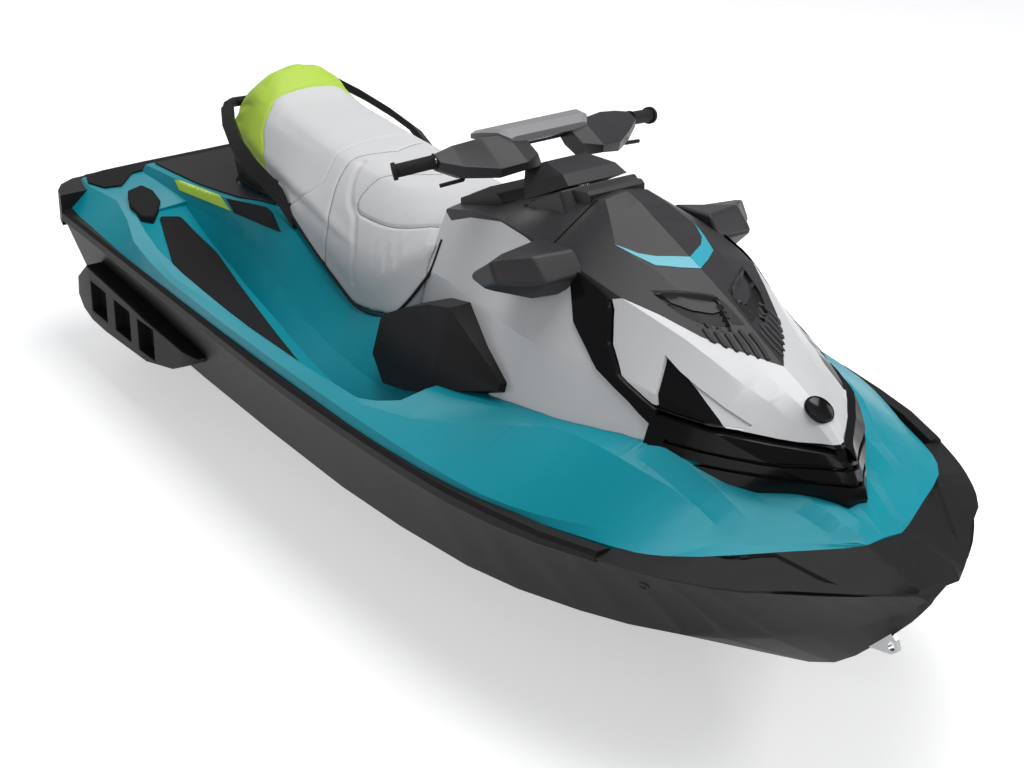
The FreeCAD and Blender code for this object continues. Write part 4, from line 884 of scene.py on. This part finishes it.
class WATERCRAFT_OT_seat(bpy.types.Operator):
    """Stuff the stepped seat, part it at its seams, and sew the seams and hem"""
    bl_idname = "watercraft.seat"
    bl_label = "Seat"

    def execute(self, context):
        sizes = context.scene.watercraft_sizes
        whole = stuffed("seat", SEATS, sizes.seat_inset, sizes.seat_swell)
        tree = skin(whole)
        seams = [laid(rows_at(rows, side), tree) for rows in (PANEL_SEAM, KNEE_CUP) for side in SIDES]
        folds = [laid(rows_at(FOLD, side), tree) for side in SIDES]
        grooved(whole, seams, SEAM_WIDTH, sizes.seam_depth)
        grooved(whole, folds, FOLD_WIDTH, FOLD_SHARE * sizes.seam_depth)
        for line in (BACK_LINE, SPLIT_LINE):
            sliced(whole, walls(line)).free()
        work = sliced(whole, [(at(0, SKIRT_END, 0), (0, 1, 0))])
        edges = [e for e in work.edges if len(e.link_faces) == 2
                 and len({section_of(face.calc_center_median()) for face in e.link_faces}) == 2]
        borders = [vert.co.copy() for vert in {v for e in edges for v in e.verts}]
        work.free()
        grooved(whole, [borders], BORDER_WIDTH, BORDER_SHARE * sizes.seam_depth)
        for node, finish in {**SEATS, "seat_skirt": "black_plastic"}.items():
            work = bmesh.new()
            work.from_mesh(whole.data)
            others = [f for f in work.faces if section_of(f.calc_center_median()) != node]
            bmesh.ops.delete(work, geom=others, context="FACES")
            bmesh.ops.holes_fill(work, edges=[e for e in work.edges if e.is_boundary], sides=0)
            bmesh.ops.recalc_face_normals(work, faces=work.faces)
            piece = link(work, node + "_cushion")
            smoothed(piece, 50)
            if node in SEATS:
                PIECES[node] = finished(piece, finish, node)
            else:
                finished(piece, finish, "rear_deck_cover", replaced=False)
        bpy.data.objects.remove(whole)
        tree = skin(*(PIECES[node] for node in SEATS))
        welts("seat_seams", [laid(line, tree, -0.0004) for line in seams], 0.0013, "seam_thread",
              "seat_front")
        welts("seat_hem", [stretched(rows_at(HEM, side), 0.008) for side in SIDES], 0.0042, "trim_rubber",
              "seat_front")
        return {"FINISHED"}


# ---------------------------------------------------------------- deck films, hood and nose

LIME_STRIP = [(0.289, 0.332, 0.560), (0.286, 0.366, 0.567), (0.281, 0.613, 0.596), (0.288, 0.692, 0.574),
              (0.298, 0.381, 0.544)]
SIDE_PLATE = [(0.282, 0.655, 0.600), (0.262, 0.870, 0.636), (0.265, 0.905, 0.631), (0.273, 0.966, 0.594),
              (0.287, 0.715, 0.574)]
CHEVRON = [(0, 2.487, 0.939), (0.041, 2.461, 0.941), (0.083, 2.428, 0.945), (0.104, 2.368, 0.957),
           (0.118, 2.311, 0.967), (0.092, 2.372, 0.957), (0.066, 2.404, 0.957), (0, 2.447, 0.953)]
LOUVRES = [  # each rib's rise, bend and foot
    [(0.094, 2.588, 0.868), (0.093, 2.628, 0.856), (0.098, 2.668, 0.839)],
    [(0.076, 2.606, 0.864), (0.077, 2.650, 0.852), (0.083, 2.692, 0.834)],
    [(0.060, 2.630, 0.862), (0.061, 2.672, 0.848), (0.067, 2.712, 0.830)],
    [(0.044, 2.648, 0.859), (0.045, 2.690, 0.845), (0.051, 2.730, 0.826)],
    [(0.029, 2.668, 0.855), (0.030, 2.710, 0.840), (0.036, 2.748, 0.821)],
    [(0.013, 2.686, 0.850), (0.014, 2.726, 0.836), (0.020, 2.762, 0.817)]]
# Outline of a very dark sheet laid over each hood vent's pocket as painted shade; the raised charcoal plate
# inside it leaves dark slits of painted shadow
VENT_SHADE_SHEET = [(0.132, 2.474, 0.912), (0.022, 2.562, 0.908), (0.012, 2.600, 0.893), (0.010, 2.665, 0.866),
             (0.058, 2.628, 0.862), (0.098, 2.588, 0.868), (0.120, 2.530, 0.884)]
VENT_PLATE = [(0.117, 2.493, 0.905), (0.032, 2.561, 0.903), (0.024, 2.606, 0.889), (0.050, 2.598, 0.880),
              (0.082, 2.566, 0.880), (0.108, 2.523, 0.890)]
BADGE = (0, 2.917, 0.756)
SIDE_DRAIN = (0.421, 2.856, 0.420)
BADGE_PROFILE = [(0, 0.0026), (0.030, 0.0022), (0.0315, 0.0032), (0.0345, 0.0030), (0.036, 0.0005),
                 (0.036, -0.004), (0, -0.004)]   # radius and height
DRAIN_PROFILE = [(0, -0.006), (0.009, -0.006), (0.009, 0.001), (0.0125, 0.0022), (0.0145, 0.0004),
                 (0.0145, -0.008), (0, -0.008)]
FILMS = [  # name, outline, the node it lies on, finish, rise, pitch of its mesh
    ("lime_strips", LIME_STRIP, "deck", "lime_film", 0.0028, 0.006),
    ("side_plates", SIDE_PLATE, "deck", "black_plastic", 0.002, 0.012),
    ("hood_chevron", CHEVRON, "hood_cover", "teal_film", 0.001, 0.008),
    # painted shade: this very dark sheet stands in for the shadow inside each vent pocket
    ("hood_vent_painted_shade", VENT_SHADE_SHEET, "hood_cover", "trim_rubber", 0.0006, 0.008),
    ("hood_vent_plates", VENT_PLATE, "hood_cover", "charcoal", 0.004, 0.008),
]


class WATERCRAFT_OT_films(bpy.types.Operator):
    """Lay the coloured strips and dark plates on the deck and hood, and a very dark sheet of painted shade
    in each hood vent
    """
    bl_idname = "watercraft.films"
    bl_label = "Strips and plates"

    def execute(self, context):
        skins = {node: skin(PIECES[node]) for node in ("deck", "hood_cover")}
        for name, outline, node, finish, rise, pitch in FILMS:
            inlays(name, [rows_at(outline, side) for side in SIDES], skins[node], finish, node, rise, pitch)
        ribs = [laid(rows_at(rib, side), skins["hood_cover"], -0.001) for rib in LOUVRES for side in SIDES]
        welts("hood_louvres", ribs, 0.0055, "charcoal", "hood_cover")
        return {"FINISHED"}


class WATERCRAFT_OT_fittings(bpy.types.Operator):
    """Fit the plain badge disc and the drain in the hull's side"""
    bl_idname = "watercraft.fittings"
    bl_label = "Small fittings"

    def execute(self, context):
        place, normal, _, _ = skin(PIECES["nose_panel"]).find_nearest(at(*BADGE))
        lathe("badge_disc", BADGE_PROFILE, place, normal, "gloss_black", "nose_panel", 48)
        hull = skin(PIECES["hull"])
        for side, spot in zip(("port", "starboard"), (rows_at([SIDE_DRAIN], side)[0] for side in SIDES)):
            place, normal, _, _ = hull.find_nearest(spot)
            lathe("side_drain_" + side, DRAIN_PROFILE, place, normal, "trim_rubber", "hull", 24)
        return {"FINISHED"}


# ---------------------------------------------------------------- stage

class CraftSizes(bpy.types.PropertyGroup):
    floor_span: FloatProperty(name="Floor span", description="Side of the floor", default=60.0,
                              unit="LENGTH")
    floor_colour: FloatVectorProperty(name="Floor colour", description="Pale studio floor", subtype="COLOR",
                                      size=3, default=(0.86, 0.86, 0.86), min=0, max=1)
    seat_inset: FloatProperty(name="Seat inset", default=0.006, unit="LENGTH",
                              description="How far the seat is shrunk before it is stuffed")
    seat_swell: FloatProperty(name="Seat swell", description="The most that stuffing moves the cover",
                              default=0.012, unit="LENGTH")
    seam_depth: FloatProperty(name="Seam depth", description="How far a sewn seam pulls in", default=0.004,
                              unit="LENGTH")


def floor_material(colour):
    material = bpy.data.materials.new("studio_floor")
    material.use_nodes = True
    tree = material.node_tree
    principled = tree.nodes["Principled BSDF"]
    principled.inputs["Base Color"].default_value = (*colour, 1)
    principled.inputs["Roughness"].default_value = 0.9
    rays = add(tree, "ShaderNodeLightPath")
    seen = add(tree, "ShaderNodeMath", operation="MAXIMUM")
    lift = add(tree, "ShaderNodeMath", {1: 0.5}, operation="MULTIPLY")
    join(tree, (rays.outputs["Is Camera Ray"], seen.inputs[0]),
         (rays.outputs["Is Glossy Ray"], seen.inputs[1]),
         (seen.outputs[0], lift.inputs[0]), (lift.outputs[0], principled.inputs["Emission Strength"]))
    principled.inputs["Emission Color"].default_value = (1, 1, 1, 1)
    return material


def placed(name, data, place, direction):
    """Links a lamp or the camera at a place, looking along a direction."""
    holder = bpy.data.objects.new(name, data)
    holder.location = place
    holder.rotation_mode = "QUATERNION"
    holder.rotation_quaternion = Vector(direction).to_track_quat("-Z", "Y")
    bpy.context.scene.collection.objects.link(holder)
    return holder


WORLD_COLOUR, WORLD_STRENGTH = (0.93, 0.95, 1.0, 1), 0.27
CAMERA_PLACE, CAMERA_AIM = (-3.0573, -4.8384, 2.6716), (0.5033, 0.7531, -0.4237)
CAMERA_LENS, SENSOR_WIDTH = 80.86, 36.0      # millimetres
LAMPS = [  # name, place, target, width, height, watts
    ("overhead", (0.6, -0.4, 4.6), (0, -0.3, 0.3), 4.0, 3.0, 165),
    ("port_key", (4.2, -3.6, 3.6), (0, -0.5, 0.4), 2.6, 2.0, 110),
    ("starboard_fill", (-5.0, -3.0, 2.8), (0, -0.3, 0.3), 3.0, 2.4, 42),
    ("stern_rim", (0.5, 6.0, 3.2), (0, 0.5, 0.4), 3.2, 1.6, 40),
]


class WATERCRAFT_OT_stage(bpy.types.Operator):
    """Floor, lamps, world and camera"""
    bl_idname = "watercraft.stage"
    bl_label = "Stage"

    def execute(self, context):
        scene = context.scene
        sizes = scene.watercraft_sizes
        work = bmesh.new()
        bmesh.ops.create_grid(work, x_segments=1, y_segments=1, size=sizes.floor_span / 2)
        bmesh.ops.translate(work, verts=work.verts, vec=(0, 0, KEEL))
        floor = link(work, "studio_floor")
        floor.data.materials.append(floor_material(sizes.floor_colour))
        for name, place, target, width, height, watts in LAMPS:
            lamp = bpy.data.lights.new(name, "AREA")
            lamp.shape, lamp.size, lamp.size_y, lamp.energy = "RECTANGLE", width, height, watts
            placed(name, lamp, place, Vector(target) - Vector(place))
        world = bpy.data.worlds.new("studio")
        world.use_nodes = True
        sky = world.node_tree.nodes["Background"]
        sky.inputs["Color"].default_value = WORLD_COLOUR
        sky.inputs["Strength"].default_value = WORLD_STRENGTH
        scene.world = world
        scene.view_settings.view_transform = "Standard"
        camera = bpy.data.cameras.new("camera")
        camera.lens, camera.sensor_width = CAMERA_LENS, SENSOR_WIDTH
        scene.camera = placed("camera", camera, CAMERA_PLACE, CAMERA_AIM)
        return {"FINISHED"}


class WATERCRAFT_PT_panel(bpy.types.Panel):
    """Lists the steps that finish the craft"""
    bl_idname = "WATERCRAFT_PT_panel"
    bl_label = "Watercraft"
    bl_space_type = "VIEW_3D"
    bl_region_type = "UI"
    bl_category = "Watercraft"

    def draw(self, context):
        for step in STEPS:
            self.layout.operator(step.bl_idname)


STEPS = (WATERCRAFT_OT_shells, WATERCRAFT_OT_controls, WATERCRAFT_OT_seat, WATERCRAFT_OT_films,
         WATERCRAFT_OT_fittings, WATERCRAFT_OT_stage)
CLASSES = (CraftSizes, *STEPS, WATERCRAFT_PT_panel)


def register():
    for item in CLASSES:
        bpy.utils.register_class(item)
    bpy.types.Scene.watercraft_sizes = PointerProperty(type=CraftSizes)


def unregister():
    del bpy.types.Scene.watercraft_sizes
    for item in reversed(CLASSES):
        bpy.utils.unregister_class(item)


def main():
    register()
    for step in STEPS:
        group, name = step.bl_idname.split(".")
        getattr(getattr(bpy.ops, group), name)()


if __name__ == "__main__":
    main()
